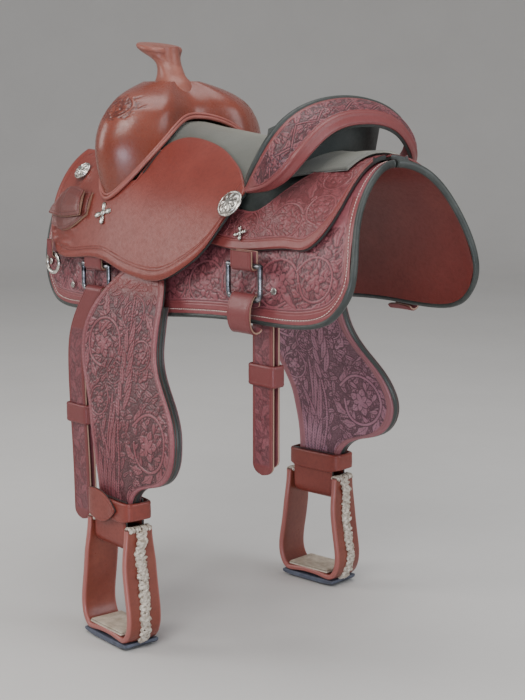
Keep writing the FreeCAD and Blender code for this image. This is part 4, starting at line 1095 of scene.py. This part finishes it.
def clip_below(points, top):
    """The part of an edge curve that lies below a level."""
    kept = [p for p in points if p[1] < top - 4]
    before = [p for p in points if p[1] >= top - 4][-1]
    t = (top - before[1]) / (kept[0][1] - before[1])
    return [(before[0] + (kept[0][0] - before[0]) * t, top)] + kept


def fender_pattern():
    """Long flutes that rise from the neck, scrolls above and one round scroll in the rear lobe."""
    pattern = Carving((-170, -560), (150, -60), seed=41, floor=-0.8)
    pattern.scatter(900, 28, 9)
    for x, z, heading, length, width, curl in (
            (-40, -205, 255, 60, 16, 0.3), (-20, -190, 285, 60, 16, -0.3), (-70, -235, 200, 52, 18, 0.4),
            (10, -225, 330, 52, 16, -0.4), (-100, -345, 215, 50, 16, 0.4), (-120, -300, 120, 50, 18, -0.4),
            (20, -330, 40, 60, 18, 0.4), (-60, -395, 190, 60, 18, 0.4), (30, -300, 80, 54, 16, 0.3),
            (-95, -240, 80, 46, 18, 0.4), (-30, -240, 100, 44, 16, -0.3), (15, -262, 300, 44, 14, 0.3)):
        pattern.leaf(x, z, heading, length, width, curl=curl, lobes=3)
    for scroll in ((-92, -282, 44, 300, 1), (-24, -226, 27, 90, -1), (-86, -372, 26, 60, -1),
                   (16, -290, 26, 250, -1), (-50, -322, 20, 120, 1)):
        pattern.scroll(*scroll)
    for i, (bend, reach) in enumerate(((0.02, 200), (-0.10, 190), (-0.22, 165), (0.12, 150), (0.22, 120))):
        pattern.leaf(-38 + 7 * i, -540, 92 + 5 * i, reach, 15, curl=bend)
    for i in range(5):
        pattern.leaf(-60 + 6 * i, -545, 112 - 6 * i, 120 - 8 * i, 12, curl=-0.10)
    pattern.stem([(-22, -530), (-14, -470), (-22, -400), (-30, -340), (-22, -280), (-28, -200)], 5)
    for i in range(5):
        pattern.leaf(-14 - 2 * i, -380 + 26 * i, 62, 70 - 6 * i, 13, curl=0.35, lobes=0)
        pattern.leaf(-22, -392 + 26 * i, 120, 46, 12, curl=-0.35, lobes=0)
    pattern.scroll(66, -424, 46, 150, -1)
    return pattern


def fender_grid(front, rear, rows, columns):
    flat = between(spline(front, rows), spline(rear, rows), np.linspace(0, 1, columns))
    return flat[..., 0], flat[..., 1]


def make_fender_face(side, name, cad, near, far, edges, material):
    """One carved face of a fender, from depth near (outside) to depth far."""
    x, z = fender_grid(*edges, 421, 201)
    shift = np.sign(near - far)
    inset = nearest_border(fender_place(x, z, near), FIRST_COLUMN, LAST_COLUMN)
    field = ease((inset - 12) / 1.6) * ease((-168 - z) / 14)
    height = carved(FENDER_CARVING, field, x, z) * 1.25 + line_groove(inset, 10.5) * (z < -120)
    beads = 0.6 * np.abs(np.sin(z * 0.55)) * bump((inset - 6.0) / 2.4) * (z < -150)
    outer = fender_place(x, z, near + shift * (height + beads - rounded(inset, 3.0)))
    inner = fender_place(x, z, far)
    if shift > 0:
        outer, inner, height, inset, z = (grid[::-1] for grid in (outer, inner, height, inset, z))
    plain = 0.85 * ease((z + 215) / 40) if near > 0 else 0.9 * ease((16 - inset) / 3)
    tool = np.clip(-height, 0, DEEPEST) * (z < -150)
    piece = panel(name + "_" + side, outer, inner, material, tool, side, bulge=0.0, colour=plain)
    belongs(piece, side + "_leathers", cad + "_" + side)


def make_fender_core(side):
    """Dark, burnished edge of the folded leather between the fender's two faces."""
    x, z = fender_grid(*INNER_EDGES, 241, 5)
    outer = fender_place(x, z, FENDER_CORE / 2)[::-1]
    inner = fender_place(x, z, -FENDER_CORE / 2)[::-1]
    piece = panel("fender_core_leather_" + side, outer, inner, PLAIN, side=side, wall=7, bulge=0.9, coarse=1)
    belongs(piece, side + "_leathers", "fender_core_" + side)


FENDER_CARVING = fender_pattern()
OUTER_EDGES = FENDER_FRONT, FENDER_REAR
INNER_EDGES = [clip_below(edge, FENDER_INNER_TOP) for edge in OUTER_EDGES]
for side_name in SIDES:
    make_fender_face(side_name, "fender_leather", "fender", FENDER_HALF, FENDER_HALF - FENDER_SKIN,
                     OUTER_EDGES, TOOLED)
    # The inner faces take the lighter, bluer leather with painted sheen and dust.
    make_fender_face(side_name, "fender_inner_leather", "fender_lining", -FENDER_HALF,
                     -FENDER_HALF + FENDER_SKIN, INNER_EDGES, INNER_SHEEN_AND_DUST)
    make_fender_core(side_name)


# ---- stirrups
STIRRUP_X, STIRRUP_Y, STIRRUP_TOP_Z, STIRRUP_BOTTOM_Z = -36.5, -238.0, -572.0, -765.0
STIRRUP_TOP_HALF, STIRRUP_BOTTOM_HALF, STIRRUP_DEPTH, STIRRUP_ARM = 61.0, 74.5, 66.0, 12.0
BOLT_Z, LOOP_OUTER, TREAD_BOARD = -595.0, 20.0, 12.0
TREAD_THICK, RIB_PITCH, RUBBER_THICK, LOOP_WIDE, LOOP_THICK, LOOP_TOP_Z = 5.8, 9.0, 10.0, 92, 3.0, -528


def turned_down(points):
    """Points made square to the saddle, turned into the line of the near fender."""
    turn = -math.atan(YAW_SLOPE)
    c, s = math.cos(turn), math.sin(turn)
    x, y, z = np.moveaxis(points - [YAW_X, YAW_Y, 0], -1, 0)
    return np.stack([YAW_X + c * x - s * y, YAW_Y + s * x + c * y, z], axis=-1)


def bell(inset, count):
    """Centre line of the stirrup's bell shape in (x, z), from the front arm's top to the rear arm's."""
    wide, narrow = STIRRUP_BOTTOM_HALF - inset, STIRRUP_TOP_HALF - inset
    low, high = STIRRUP_BOTTOM_Z + inset, STIRRUP_TOP_Z
    tall = high - low
    arm = [(narrow, high), (narrow + 1.5, high - 0.3 * tall), (wide - 4, high - 0.62 * tall),
           (wide, low + 0.2 * tall), (wide - 4, low + 0.08 * tall), (wide - 16, low), (wide - 34, low)]
    left = [(-x, z) for x, z in arm]
    return spline(left + list(reversed(arm)), count)


def make_stirrup(side):
    """Leather-covered bell stirrup with rolled rims, white caps, braided rawhide, tread and rubber base."""
    rows = 181
    line = bell(STIRRUP_ARM / 2, rows)
    tangent = unit(np.gradient(line, axis=0))
    outward_way = np.stack([tangent[:, 1], -tangent[:, 0]], axis=1)
    arm_top = np.minimum(np.arange(rows), np.arange(rows)[::-1]) / 26.0
    deep = STIRRUP_DEPTH / 2 * (0.80 + 0.20 * ease(arm_top))
    section = []
    for turn in round_turn(40):
        c, s = math.cos(turn), math.sin(turn)
        section.append((math.copysign(abs(c) ** 0.35, c), math.copysign(abs(s) ** 0.62, s)))
    points, edge = [], []
    for i in range(rows):
        half = deep[i] - 0.4
        rim = 1.0 + 0.10 * bump(np.array([(abs(c) - 0.92) / 0.14 for c, _ in section]))
        for (c, s), r in zip(section, rim):
            across = s * (STIRRUP_ARM / 2 - 0.2) * r
            points.append((STIRRUP_X + line[i, 0] + outward_way[i, 0] * across, STIRRUP_Y + c * half,
                           line[i, 1] + outward_way[i, 1] * across))
            edge.append(float(ease((abs(c) - 0.84) / 0.08)))
    points = turned_down(np.array(points))
    n = len(section)
    ends = [np.arange(n)[None, ::-1], ((rows - 1) * n + np.arange(n))[None]]
    points, faces = mirror_mesh(points, [quads(rows, n, closed=True)] + ends, side)
    edge = np.array(edge)
    attributes = {"tool": 0 * edge, "edge": edge, "tint": 0 * edge}
    body = make_object("stirrup_cover_" + side, points, faces, attributes, WOODEN)
    belongs(body, side + "_stirrup", "stirrup_" + side)
    make_braid(side, line, outward_way)
    make_tread(side)


# point of the bell line where the braid ends, lumps along it, and turns of lacing over each arm's top
BRAID_END, BRAID_LUMPS, CAP_TURNS = 110, 15, 7


def make_braid(side, line, outward_way):
    """Lumpy rawhide lacing down the rear arm, over the bolt's head, and wrapped over both arm tops."""
    draw = random.Random(77)
    index = np.linspace(len(line) - 2, BRAID_END, 400)
    k = np.clip(index.astype(int), 0, len(line) - 2)
    f = (index - k)[:, None]
    base = line[k] * (1 - f) + line[k + 1] * f
    way = outward_way[k]
    steps = lengths(base)
    over_bolt = 4.0 * bump((base[:, 1] - BOLT_Z) / 13.0)
    parts = []

    def laid(across, lift):
        """Points on the outside of the arm, across it and off it, along the whole braid."""
        stand = STIRRUP_ARM / 2 + lift + over_bolt
        return turned_down(np.stack([STIRRUP_X + base[:, 0] + way[:, 0] * stand, STIRRUP_Y + across,
                                     base[:, 1] + way[:, 1] * stand], axis=1))

    for phase in range(3):
        swing = 2 * math.pi * steps / 27.0 + 2 * math.pi * phase / 3
        uneven = 1 + 0.22 * np.sin(steps / 6.1 + phase * 2) + 0.15 * np.sin(steps / 2.9 + phase)
        parts.append(tube(laid(7.0 * np.sin(swing) * uneven, 1.8 + 1.2 * np.cos(2 * swing)), 3.0 * uneven, 9))
    for i in range(BRAID_LUMPS):
        at = 8 + (steps[-1] - 16) * i / (BRAID_LUMPS - 1) + draw.uniform(-2.5, 2.5)
        near = np.abs(steps - at) < 4.2 + draw.uniform(-0.6, 1.4)
        reach, lean, plump = draw.uniform(8.5, 12.5), draw.uniform(-0.8, 0.8), draw.uniform(3.2, 4.6)
        knot = laid(0 * steps, 2.4 + 0 * steps)[near]
        t = np.linspace(-1, 1, len(knot))
        centre = knot[len(knot) // 2]
        slope = (knot[-1] - knot[0]) / 2
        path = centre + np.array([0, 1.0, 0]) * (reach * t)[:, None] + slope * (lean * t * np.abs(t))[:, None]
        path = path + (knot - centre) * 0.35
        taper = np.sqrt(np.clip(1.05 - t ** 2, 0.05, 1))
        parts.append(tube(path, plump * taper * (1 + 0.14 * np.sin(7 * t + i)), 9))
    braid = solid_object("rawhide_braid_" + side, parts, RAWHIDE, side)
    caps = []
    for end in (0, -1):
        centre = np.array([STIRRUP_X + line[end, 0], STIRRUP_Y, STIRRUP_TOP_Z])
        for i in range(CAP_TURNS):
            y = -18 + 6 * i + draw.uniform(-0.8, 0.8)
            arc = np.linspace(-0.15 * math.pi, 1.15 * math.pi, 21)
            loop = np.stack([centre[0] + 7.0 * np.cos(arc), centre[1] + y + 0.8 * np.sin(5 * arc + i),
                             centre[2] - 1.6 + 3.4 * np.sin(arc)], axis=1)
            caps.append(tube(turned_down(loop), draw.uniform(2.3, 3.2), 8))
    cap = solid_object("rawhide_arm_caps_" + side, caps, RAWHIDE, side)
    belongs(braid, side + "_stirrup", "rawhide_" + side)
    belongs(cap, side + "_stirrup")


def tread_mesh(half_x, half_y, rows, columns):
    """Flat grid centred on the stirrup, in x and y from its middle, and the distance to its border."""
    x, y = np.meshgrid(np.linspace(-half_x, half_x, rows), np.linspace(-half_y, half_y, columns),
                       indexing="ij")
    return x, y, np.minimum(half_x - np.abs(x), half_y - np.abs(y))


def tread_points(x, y, z):
    return turned_down(np.stack([STIRRUP_X + x, STIRRUP_Y + y, z], axis=-1))


def make_tread(side):
    """Worn leather tread with stitched border over a ribbed rubber base."""
    low = STIRRUP_BOTTOM_Z + TREAD_BOARD + GAP
    x, y, inset = tread_mesh(STIRRUP_BOTTOM_HALF - STIRRUP_ARM - 17.0, STIRRUP_DEPTH / 2 - 2, 61, 41)
    line = 0.5 * bump((inset - 5) / 1.5)
    z = low + TREAD_THICK - rounded(inset, 2.4) - line - 0.9 * bump(np.hypot(x / 40, y / 26))
    pad = panel("tread_pad_" + side, tread_points(x, y, z), tread_points(x, y, 0 * x + low), TREAD, side=side)
    belongs(pad, side + "_stirrup", "tread_" + side)
    half_x = STIRRUP_BOTTOM_HALF - 14.0
    x, y, inset = tread_mesh(half_x, STIRRUP_DEPTH / 2, 121, 31)
    ribs = 0.9 * (np.sin(x * 2 * math.pi / RIB_PITCH) > 0.3) * (inset > 3)
    z = STIRRUP_BOTTOM_Z - GAP - RUBBER_THICK + 3.0 * (x / half_x) ** 4 + rounded(inset, 2.0) + ribs
    sole, roof = tread_points(x, y, z)[::-1], tread_points(x, y, 0 * x + STIRRUP_BOTTOM_Z - GAP)[::-1]
    base = panel("tread_rubber_" + side, sole, roof, RUBBER, side=side, coarse=2)
    belongs(base, side + "_stirrup", "tread_base_" + side)


def make_leather_loop(side):
    """Plain rolled leather that carries the bolt, folded round it from the outside to the inside."""
    radius = LOOP_OUTER - LOOP_THICK
    run = [(-radius, z) for z in np.linspace(LOOP_TOP_Z, BOLT_Z + 4, 12)]
    roll = [(-radius * math.cos(a), BOLT_Z - radius * math.sin(a)) for a in np.linspace(0, math.pi, 41)]
    back = [(radius, z) for z in np.linspace(BOLT_Z + 4, LOOP_TOP_Z, 12)]
    line = np.array(run + roll + back)
    path = np.stack([np.full(len(line), STIRRUP_X), STIRRUP_Y + line[:, 0], line[:, 1]], axis=1)
    outer, inner = strap_grid(path, LOOP_WIDE, LOOP_THICK, (1, 0, 0), 41, round_edge=2.0)
    outer = inner + (inner - outer)
    deeper = inner + unit(inner - outer) * LOOP_THICK
    piece = panel("stirrup_roll_" + side, turned_down(outer), turned_down(deeper), PLAIN, side=side, coarse=1,
                  wall=4, bulge=0.3)
    belongs(piece, side + "_leathers", "stirrup_leather_" + side)


def band(x, out, half_x, half_y, low, high, thick, power=0.3):
    """Closed leather band round a strap, with a raised line along both rims."""
    sides = 160
    turn = np.linspace(0, 2 * math.pi, sides + 1)[:-1]
    cx = np.sign(np.cos(turn)) * np.abs(np.cos(turn)) ** power
    cy = np.sign(np.sin(turn)) * np.abs(np.sin(turn)) ** power
    rows = []

    def add_ring(t, grow):
        level = np.full(sides, low + (high - low) * t)
        rows.append(np.stack([x + (half_x + grow) * cx, -out + (half_y + grow) * cy, level], axis=1))

    for t in np.linspace(0, 1, 29):
        from_rim = min(t, 1 - t)
        rim = 0.55 * bump(np.array((from_rim * (high - low) - 4.0) / 1.6)) - 1.3 * (from_rim < 0.02)
        add_ring(t, rim + 0.5 * math.sin(math.pi * t) - 0.5)
    for t in np.linspace(1, 0, 9):
        add_ring(t, -thick)
    faces = [quads(len(rows), sides, closed=True)[:, ::-1],
             strip((len(rows) - 1) * sides + np.arange(sides), np.arange(sides))[:, ::-1]]
    return np.concatenate(rows), faces


HOBBLE_FRONT, HOBBLE_REAR, HOBBLE_LOW, HOBBLE_TALL, HOBBLE_SQUARE = -91.0, 27.0, -562.0, 34.0, 6.25
TAB_TOP = [(-88, -519), (-66, -516), (-42, -518), (-20, -528), (-4, -541)]
TAB_BOTTOM = [(-88, -563), (-68, -568), (-44, -569), (-20, -559), (-4, -545)]


def make_hobble(side):
    """Hobble strap round the fender's neck, with a pointed tab lapped over its outside."""
    half_y = LOOP_OUTER + 7.0
    centre_x, half_x = (HOBBLE_FRONT + HOBBLE_REAR) / 2, (HOBBLE_REAR - HOBBLE_FRONT) / 2
    points, faces = band(STIRRUP_X, -STIRRUP_Y, half_x, half_y, HOBBLE_LOW, HOBBLE_LOW + HOBBLE_TALL, 4.6,
                         2 / HOBBLE_SQUARE)
    points = points + [centre_x - STIRRUP_X, 0, 0]
    from_middle = np.abs(points[:, 0] - centre_x) / half_x
    points[:, 2] += 5.0 * ease((from_middle - 0.6) / 0.4) * ease((HOBBLE_LOW + 10 - points[:, 2]) / 10)
    flat = between(spline(TAB_TOP, 61), spline(TAB_BOTTOM, 61), np.linspace(0, 1, 31))
    x, z = flat[..., 0], flat[..., 1]
    reach = np.clip(np.abs(x - centre_x) / half_x, 0, 0.999)
    y = STIRRUP_Y - half_y * (1 - reach ** HOBBLE_SQUARE) ** (1 / HOBBLE_SQUARE)
    face = np.stack([x, y, z], axis=-1)
    tip, upper, lower = border_distance(face)[1:]
    inset = np.minimum(np.minimum(tip, upper), lower)
    line = 0.7 * bump((inset - 4.5) / 1.2)
    lift = 4.2 - rounded(inset, 1.6) - line + 1.5 * ease(1 - tip / 22)
    outer = face - np.stack([0 * lift, lift, 0 * lift], axis=-1)
    inner = face - [0, 1.4, 0]
    tab = panel("hobble_tab_" + side, turned_down(outer), turned_down(inner), PLAIN, line, side, coarse=2)
    piece = solid_object("hobble_band_" + side, [(turned_down(points), faces)], PLAIN, side)
    for part in (piece, tab):
        belongs(part, side + "_leathers", "hobble_strap_" + side)


for side_name in SIDES:
    make_stirrup(side_name)
    make_leather_loop(side_name)
    make_hobble(side_name)
    dress(RAWHIDE, "stirrup_bolt_" + side_name)


# ---- straps and keepers
BAR, STRAP_THICK, STRAP_WIDTH, CARRIER_THICK = 4.05, 5.0, 45.0, 4.5
FRONT_DEE = {"x": -161.0, "z": -160.0, "out": 180.0, "drop": 44.0}
REAR_DEE = {"x": 214.0, "z": -126.0, "out": 183.0, "drop": 52.0}
BREAST_RING = {"x": -293.0, "z": -151.8, "out": 174.0}
BILLET_BAR = {"x": 225.0, "z": -200.0, "out": 147.0}
LATIGO_LINE = [(-161, -204), (-187, -240), (-208, -285), (-214, -345), (-211, -420), (-206, -500),
               (-203, -613)]
BILLET_LINE = [(225, -200), (225, -260), (225, -350), (225, -415), (225, -458)]


def strap(name, cad, body, path, width, thick, side="left", carving=None, crown=0.0):
    """Strap along its inner line, with a pressed border; carving is where it starts and ends, and a seed."""
    outer, inner = strap_grid(path, width, thick, (1, 0, 0), 33, round_edge=1.4, crown=crown)
    steps = lengths(path)
    across = outer[..., 0] - path[:, None, 0]
    along = np.broadcast_to(steps[:, None], across.shape)
    inset = np.broadcast_to(np.asarray(width, float), (len(path),))[:, None] / 2 - np.abs(across)
    height = -0.9 * np.exp(-((inset - 4.0) / 0.7) ** 2) * (along > 4)
    smooth = np.full(across.shape, 0.75)
    if carving:
        first, last, seed = carving
        pattern = Carving((first, -24), (last, 24), seed)
        pattern.scatter(int((last - first) * 0.75), 17, 6.5)
        for i, at in enumerate(np.arange(first + 14, last - 8, 26)):
            way = 1 if i % 2 else -1
            pattern.leaf(at - 10, 0, 24 * way, 30, 12, curl=0.3 * way, lobes=2)
        inside = ease((along - first) / 8) * ease((last - along) / 8) * ease((inset - 5.2) / 1.0)
        height = height + carved(pattern, inside, along, across) * 0.7
        smooth = 0.75 * (1 - inside)
    outer = outer + unit(outer - inner) * height[..., None]
    tool = np.clip(-height, 0, DEEPEST)
    outer, inner, tool, smooth = (grid[:, ::-1] for grid in (outer, inner, tool, smooth))
    piece = panel(name + "_" + side, outer, inner, STRAP, tool, side, wall=4, bulge=0.5, coarse=1,
                  colour=smooth)
    belongs(piece, body, cad)


def folded_path(place, bar_z, line, count, tip):
    """Inner line of a strap that hangs from a bar: up the outside, over the bar and down the inside."""
    run = spline(line, count)
    x, z, out = run[:, 0], run[:, 1], place["out"]
    arc = np.linspace(0, math.pi, 15)[1:-1]
    over = np.stack([np.full(13, x[0]), -out - BAR * np.cos(arc), bar_z + BAR * np.sin(arc)], axis=1)
    outside = np.stack([x, np.full(count, -out - BAR), z], axis=1)[::-1]
    shorter = z > z[-1] + tip
    inside = np.stack([x, np.full(count, -out + BAR), z], axis=1)[shorter]
    return np.concatenate([outside, over, inside])


def strap_width(path, full, tip):
    """Full width along a strap, drawn in to a rounded tip at both ends."""
    steps = lengths(path)
    to_end = np.minimum(steps, steps[-1] - steps)
    t = np.clip(to_end / tip, 0, 1)
    return full * np.sqrt(np.clip(1 - (1 - t) ** 2, 0.02, 1))


def hung_path(place, half_bar, top):
    """Inner line of a strap folded under a bar: down the inside, round the bar and up the outside."""
    arc = np.linspace(0, math.pi, 21)
    under = np.stack([np.full(21, place["x"]), -place["out"] + half_bar * np.cos(arc),
                      place["z"] - half_bar * np.sin(arc)], axis=1)
    rise = np.linspace(place["z"], top, 14)[1:]
    outside = np.stack([np.full(13, place["x"]), np.full(13, -place["out"] - half_bar), rise], axis=1)
    inside = (outside * [1, 0, 1] + [0, -place["out"] + half_bar, 0])[::-1]
    return np.concatenate([inside, under, outside])


def make_straps():
    """Latigo and rear billet, and the keeper that slides on each."""
    path = folded_path(FRONT_DEE, FRONT_DEE["z"] - FRONT_DEE["drop"], LATIGO_LINE, 260, 8)
    strap("latigo_leather", "latigo", "latigo_strap", path, strap_width(path, STRAP_WIDTH, 18), STRAP_THICK,
          carving=(14, 345, 61))
    path = folded_path(BILLET_BAR, BILLET_BAR["z"], BILLET_LINE, 170, 8)
    strap("billet_leather", "rear_billet", "billet_strap", path, strap_width(path, STRAP_WIDTH, 16),
          STRAP_THICK, carving=(12, 250, 62))
    for name, cad, body, x, out, z in (
            ("latigo_keeper_band", "latigo_keeper", "latigo_loop", -210.8, 180.0, -424.0),
            ("billet_keeper_band", "billet_keeper", "billet_loop", 225.0, 147.0, -299.0)):
        piece = solid_object(name, [band(x, out, 29.5, 14.0, z - 17.0, z + 17.0, 4.0)], STRAP, tint=0.8)
        belongs(piece, body, cad)


def make_ring_straps(side):
    """Short folded straps that hold the two rigging rings and the breast collar ring."""
    for name, place, half, bar, top, thick in (("front", FRONT_DEE, 23.0, BAR, -136.0, 5.0),
                                               ("rear", REAR_DEE, 23.0, BAR, -104.0, 5.0),
                                               ("breast", BREAST_RING, 7.0, 5.6, -126.0, 3.5)):
        path = hung_path(place, bar, top)
        strap(name + "_ring_strap", "ring_straps", "saddle", path, 2 * half, thick, side, crown=-0.8)


def make_carrier_loop(side):
    """Plain band folded over the rear ring's lower bar, its long end curled in under the skirt."""
    x, y, z, reach = 215, -REAR_DEE["out"], REAR_DEE["z"] - REAR_DEE["drop"], 10.0
    path = [(x, y + reach, z - 14), (x, y + reach, z), (x, y, z + reach), (x, y - reach, z),
            (x, y - reach - 5, z - 18), (x, y - reach - 3, z - 40), (x, y - 3, z - 53), (x, y + 12, z - 51),
            (x, y + 17, z - 44)]
    face = spline(path, 150)[::-1]
    tangent = unit(np.gradient(face, axis=0))
    normal = unit(np.cross([1, 0, 0], tangent))
    strap("carrier_loop_leather", "carrier_loop_" + side, "rear_dee_ring_" + side,
          face - normal * CARRIER_THICK, strap_width(face, 50.0, 5), CARRIER_THICK, side, crown=-0.6)


# ---- latigo carrier
FLAP_TOP, FLAP_BOTTOM = [(-272, 50), (-240, 49.5), (-210, 51)], [(-304, 61.5), (-250, 62), (-198, 60.5)]
LOOP_TOP, LOOP_BOTTOM = [(-308, 54), (-255, 52), (-198, 50)], [(-300, 65), (-250, 66.5), (-192, 59)]


def make_latigo_carrier():
    """Folded flap with a pointed lower front corner over a curved loop with pale edges."""
    for name, top, bottom, low, high, lift in (("carrier_flap", FLAP_TOP, FLAP_BOTTOM, 20.0, 25.5, 3.0),
                                               ("carrier_underloop", LOOP_TOP, LOOP_BOTTOM, 9.0, 16.0, 1.5)):
        x, angle, grid = back_grid(top, bottom, 81, 49, lambda a, b: body_offset(a, b) + high)
        front, rear, upper, lower = border_distance(grid)
        inset = np.minimum(np.minimum(front, rear), np.minimum(upper, lower))
        line = bump((inset - 5) / 1.3)
        height = lift * ease(np.minimum(upper, lower) / 18) - rounded(inset, 2.2) - 0.7 * line
        curl = 4.0 * ease(1 - (lower + front) / 34)
        outer = raised(grid, outward(grid), height + curl)
        inner = on_back(x, angle, body_offset(x, angle) + low)
        piece = panel(name, outer, inner, CARRIER, 0.8 * line, bulge=0.5)
        belongs(piece, "saddle", "latigo_carrier")


# ---- silver
def stood_on(points, x, angle, off):
    """Points made round +Z, stood on the near side of the back."""
    foot = on_back(x, angle, off)
    down = unit(on_back(x, angle + 0.5, off) - on_back(x, angle - 0.5, off))
    along = unit(on_back(x + 1, angle, off) - on_back(x - 1, angle, off))
    normal = -np.cross(along, down)
    side = unit(np.cross(normal, along))
    return foot + points[:, :1] * along + points[:, 1:2] * side + points[:, 2:] * normal


def concho(radius, dimples):
    """Domed disc with a roped rim; dimples cut into the dome, or petals raised on it."""
    sides = 120
    turn = round_turn(sides)
    rings, cut = [], []
    for t in np.linspace(0.01, 1, 46):
        dome = 5.6 * math.sqrt(max(0.0, 1 - (t / 0.84) ** 2)) if t < 0.84 else 0.0
        rim = 1.9 + 0.9 * float(bump(np.array((t - 0.93) / 0.07))) * (1 + 0.25 * np.sin(44 * turn))
        petals = float(bump(np.array((t - 0.5) / 0.34))) * np.cos(8 * turn)
        relief = (-1.3 if dimples else 0.9) * petals
        z = rim + dome + relief * (t < 0.84)
        rings.append(np.stack([radius * t * np.cos(turn), radius * t * np.sin(turn), z], axis=1))
        cut.append(np.clip(0.5 - relief * 1.1, 0, 1) * (0.25 < t < 0.84) * 0.7
                   + 0.9 * float(bump(np.array((t - 0.85) / 0.04))))
    rings.append(rings[-1] * [1, 1, 0])
    cut.append(np.zeros(sides))
    return np.concatenate(rings), [quads(len(rings), sides, closed=True)], np.concatenate(cut)


def petal_ornament(radius):
    """Four domed petals round a small boss."""
    parts, sides = [], 32
    turn = round_turn(sides)
    for i in range(4):
        heading = math.radians(20 + 90 * i)
        c, s = math.cos(heading), math.sin(heading)
        rings = []
        for t in np.linspace(0.02, 1, 10):
            u = 0.60 * radius + 0.42 * radius * t * np.cos(turn)
            v = 0.23 * radius * t * np.sin(turn) * (1 + 0.25 * np.cos(turn))
            lift = 1.8 + 2.2 * math.sqrt(1 - min(t, 0.999) ** 2) + 0.5 * np.cos(turn) * t
            rings.append(np.stack([u * c - v * s, u * s + v * c, lift], axis=1))
        rings.append(rings[-1] * [1, 1, 0])
        parts.append((np.concatenate(rings), [quads(len(rings), sides, closed=True)]))
    boss = []
    for t in np.linspace(0.02, 1, 8):
        boss.append(np.stack([0.27 * radius * t * np.cos(turn), 0.27 * radius * t * np.sin(turn),
                              np.full(sides, 2.0 + 3.0 * math.sqrt(1 - min(t, 0.999) ** 2))], axis=1))
    parts.append((np.concatenate(boss), [quads(len(boss), sides, closed=True)]))
    return parts


CONCHOS = (("front_concho", -272.0, 39.5, 17.0, JOCKEY + 6.0, True),
           ("rear_concho", 156.0, 48.5, 23.0, JOCKEY + 6.5, False))
ORNAMENTS = (("front_ornament", -146.0, 57.5, 20.0), ("rear_ornament", 176.0, 57.0, 12.0))


def make_silver():
    """Two round conchos and two petal ornaments a side."""
    for side in SIDES:
        for name, x, angle, radius, lift, dimples in CONCHOS:
            points, faces, cut = concho(radius, dimples)
            points = stood_on(points, x, angle, body_offset(x, angle) + lift)
            points, faces = mirror_mesh(points, faces, side)
            piece = make_object(name + "_" + side, points, faces, {"tool": cut}, SILVER)
            belongs(piece, "saddle", "conchos")
        for name, x, angle, radius in ORNAMENTS:
            off = body_offset(x, angle) + JOCKEY + 1.0 if x < 0 else rear_offset(x, angle) + 9.0
            parts = [(stood_on(points, x, angle, off), faces) for points, faces in petal_ornament(radius)]
            piece = solid_object(name + "_" + side, parts, SILVER, side)
            belongs(piece, "saddle", "ornaments")


make_straps()
make_latigo_carrier()
make_silver()
for side_name in SIDES:
    make_ring_straps(side_name)
    make_carrier_loop(side_name)
    dress(STEEL, "front_dee_" + side_name, "rear_dee_" + side_name)
    dress(SILVER, "breast_ring_" + side_name)
dress(STEEL, "billet_bar")
dress(SILVER, "saddle_screws")


# ---- stage, lights and camera
def make_stage():
    """Round studio floor that curves up into a low wall, clear of a camera on any side."""
    sides = 144
    across = np.concatenate([[0.02], np.linspace(0.4, FLAT_RADIUS, 12),
                             np.linspace(FLAT_RADIUS, WALL_RADIUS, 41)[1:]])
    bend = np.clip(across - FLAT_RADIUS, 0, None) / (WALL_RADIUS - FLAT_RADIUS)
    level = FLOOR_Z + WALL_HEIGHT * (1 - np.sqrt(1 - bend ** 2))
    turn = round_turn(sides)
    points = np.stack([across[:, None] * np.cos(turn), across[:, None] * np.sin(turn),
                       np.broadcast_to(level[:, None], (len(across), sides))], axis=-1).reshape(-1, 3)
    faces = [quads(len(across), sides, closed=True), np.arange(sides)[None]]
    make_object("floor", points / MM, faces, {}, FLOOR)


def aim(thing, target):
    """Turns a light or camera, which look along their own -Z, to face a point."""
    look = Vector(target) - thing.location
    thing.rotation_euler = look.to_track_quat("-Z", "Y").to_euler()


def area_light(name, location, target, size, power, colour=(1, 1, 1)):
    data = bpy.data.lights.new(name, "AREA")
    data.shape = "RECTANGLE"
    data.size, data.size_y = size
    data.energy = power
    data.color = colour
    light = bpy.data.objects.new(name, data)
    bpy.context.scene.collection.objects.link(light)
    light.location = location
    aim(light, target)


def make_camera():
    data = bpy.data.cameras.new("camera")
    data.lens, data.sensor_width = 80.0, 36.0
    camera = bpy.data.objects.new("camera", data)
    bpy.context.scene.collection.objects.link(camera)
    camera.location = (1.946, -1.770, 0.166)
    aim(camera, (0.06, 0.0, -0.30))
    bpy.context.scene.camera = camera


FLOOR_Z = CAD_BOX[0][2] - 0.002
FLAT_RADIUS, WALL_RADIUS, WALL_HEIGHT = 4.6, 7.0, 3.2
FLOOR = dry("floor_plain", (0.62, 0.61, 0.59), (0.60, 0.59, 0.57), 0.8, 3.0, 0.05)
make_stage()
make_camera()
area_light("key", (1.6, -2.6, 2.4), (0, 0, -0.2), (2.0, 2.0), 90, (1.0, 0.97, 0.94))
area_light("fill", (3.0, 1.2, 0.8), (0, 0, -0.2), (2.0, 2.0), 40, (0.92, 0.94, 1.0))
area_light("low", (2.1, -2.5, -0.55), (0.05, 0.1, -0.45), (1.6, 0.7), 42, (0.74, 0.82, 1.0))
area_light("left", (-2.4, -2.4, 1.0), (0, 0, -0.2), (1.6, 2.0), 45, (1.0, 0.96, 0.94))
area_light("top", (0.2, 0.3, 3.0), (0, 0, 0), (2.5, 2.5), 60)
world = bpy.data.worlds.new("studio")
world.use_nodes = True
world.node_tree.nodes["Background"].inputs["Color"].default_value = (0.80, 0.80, 0.82, 1)
world.node_tree.nodes["Background"].inputs["Strength"].default_value = 0.38
bpy.context.scene.world = world
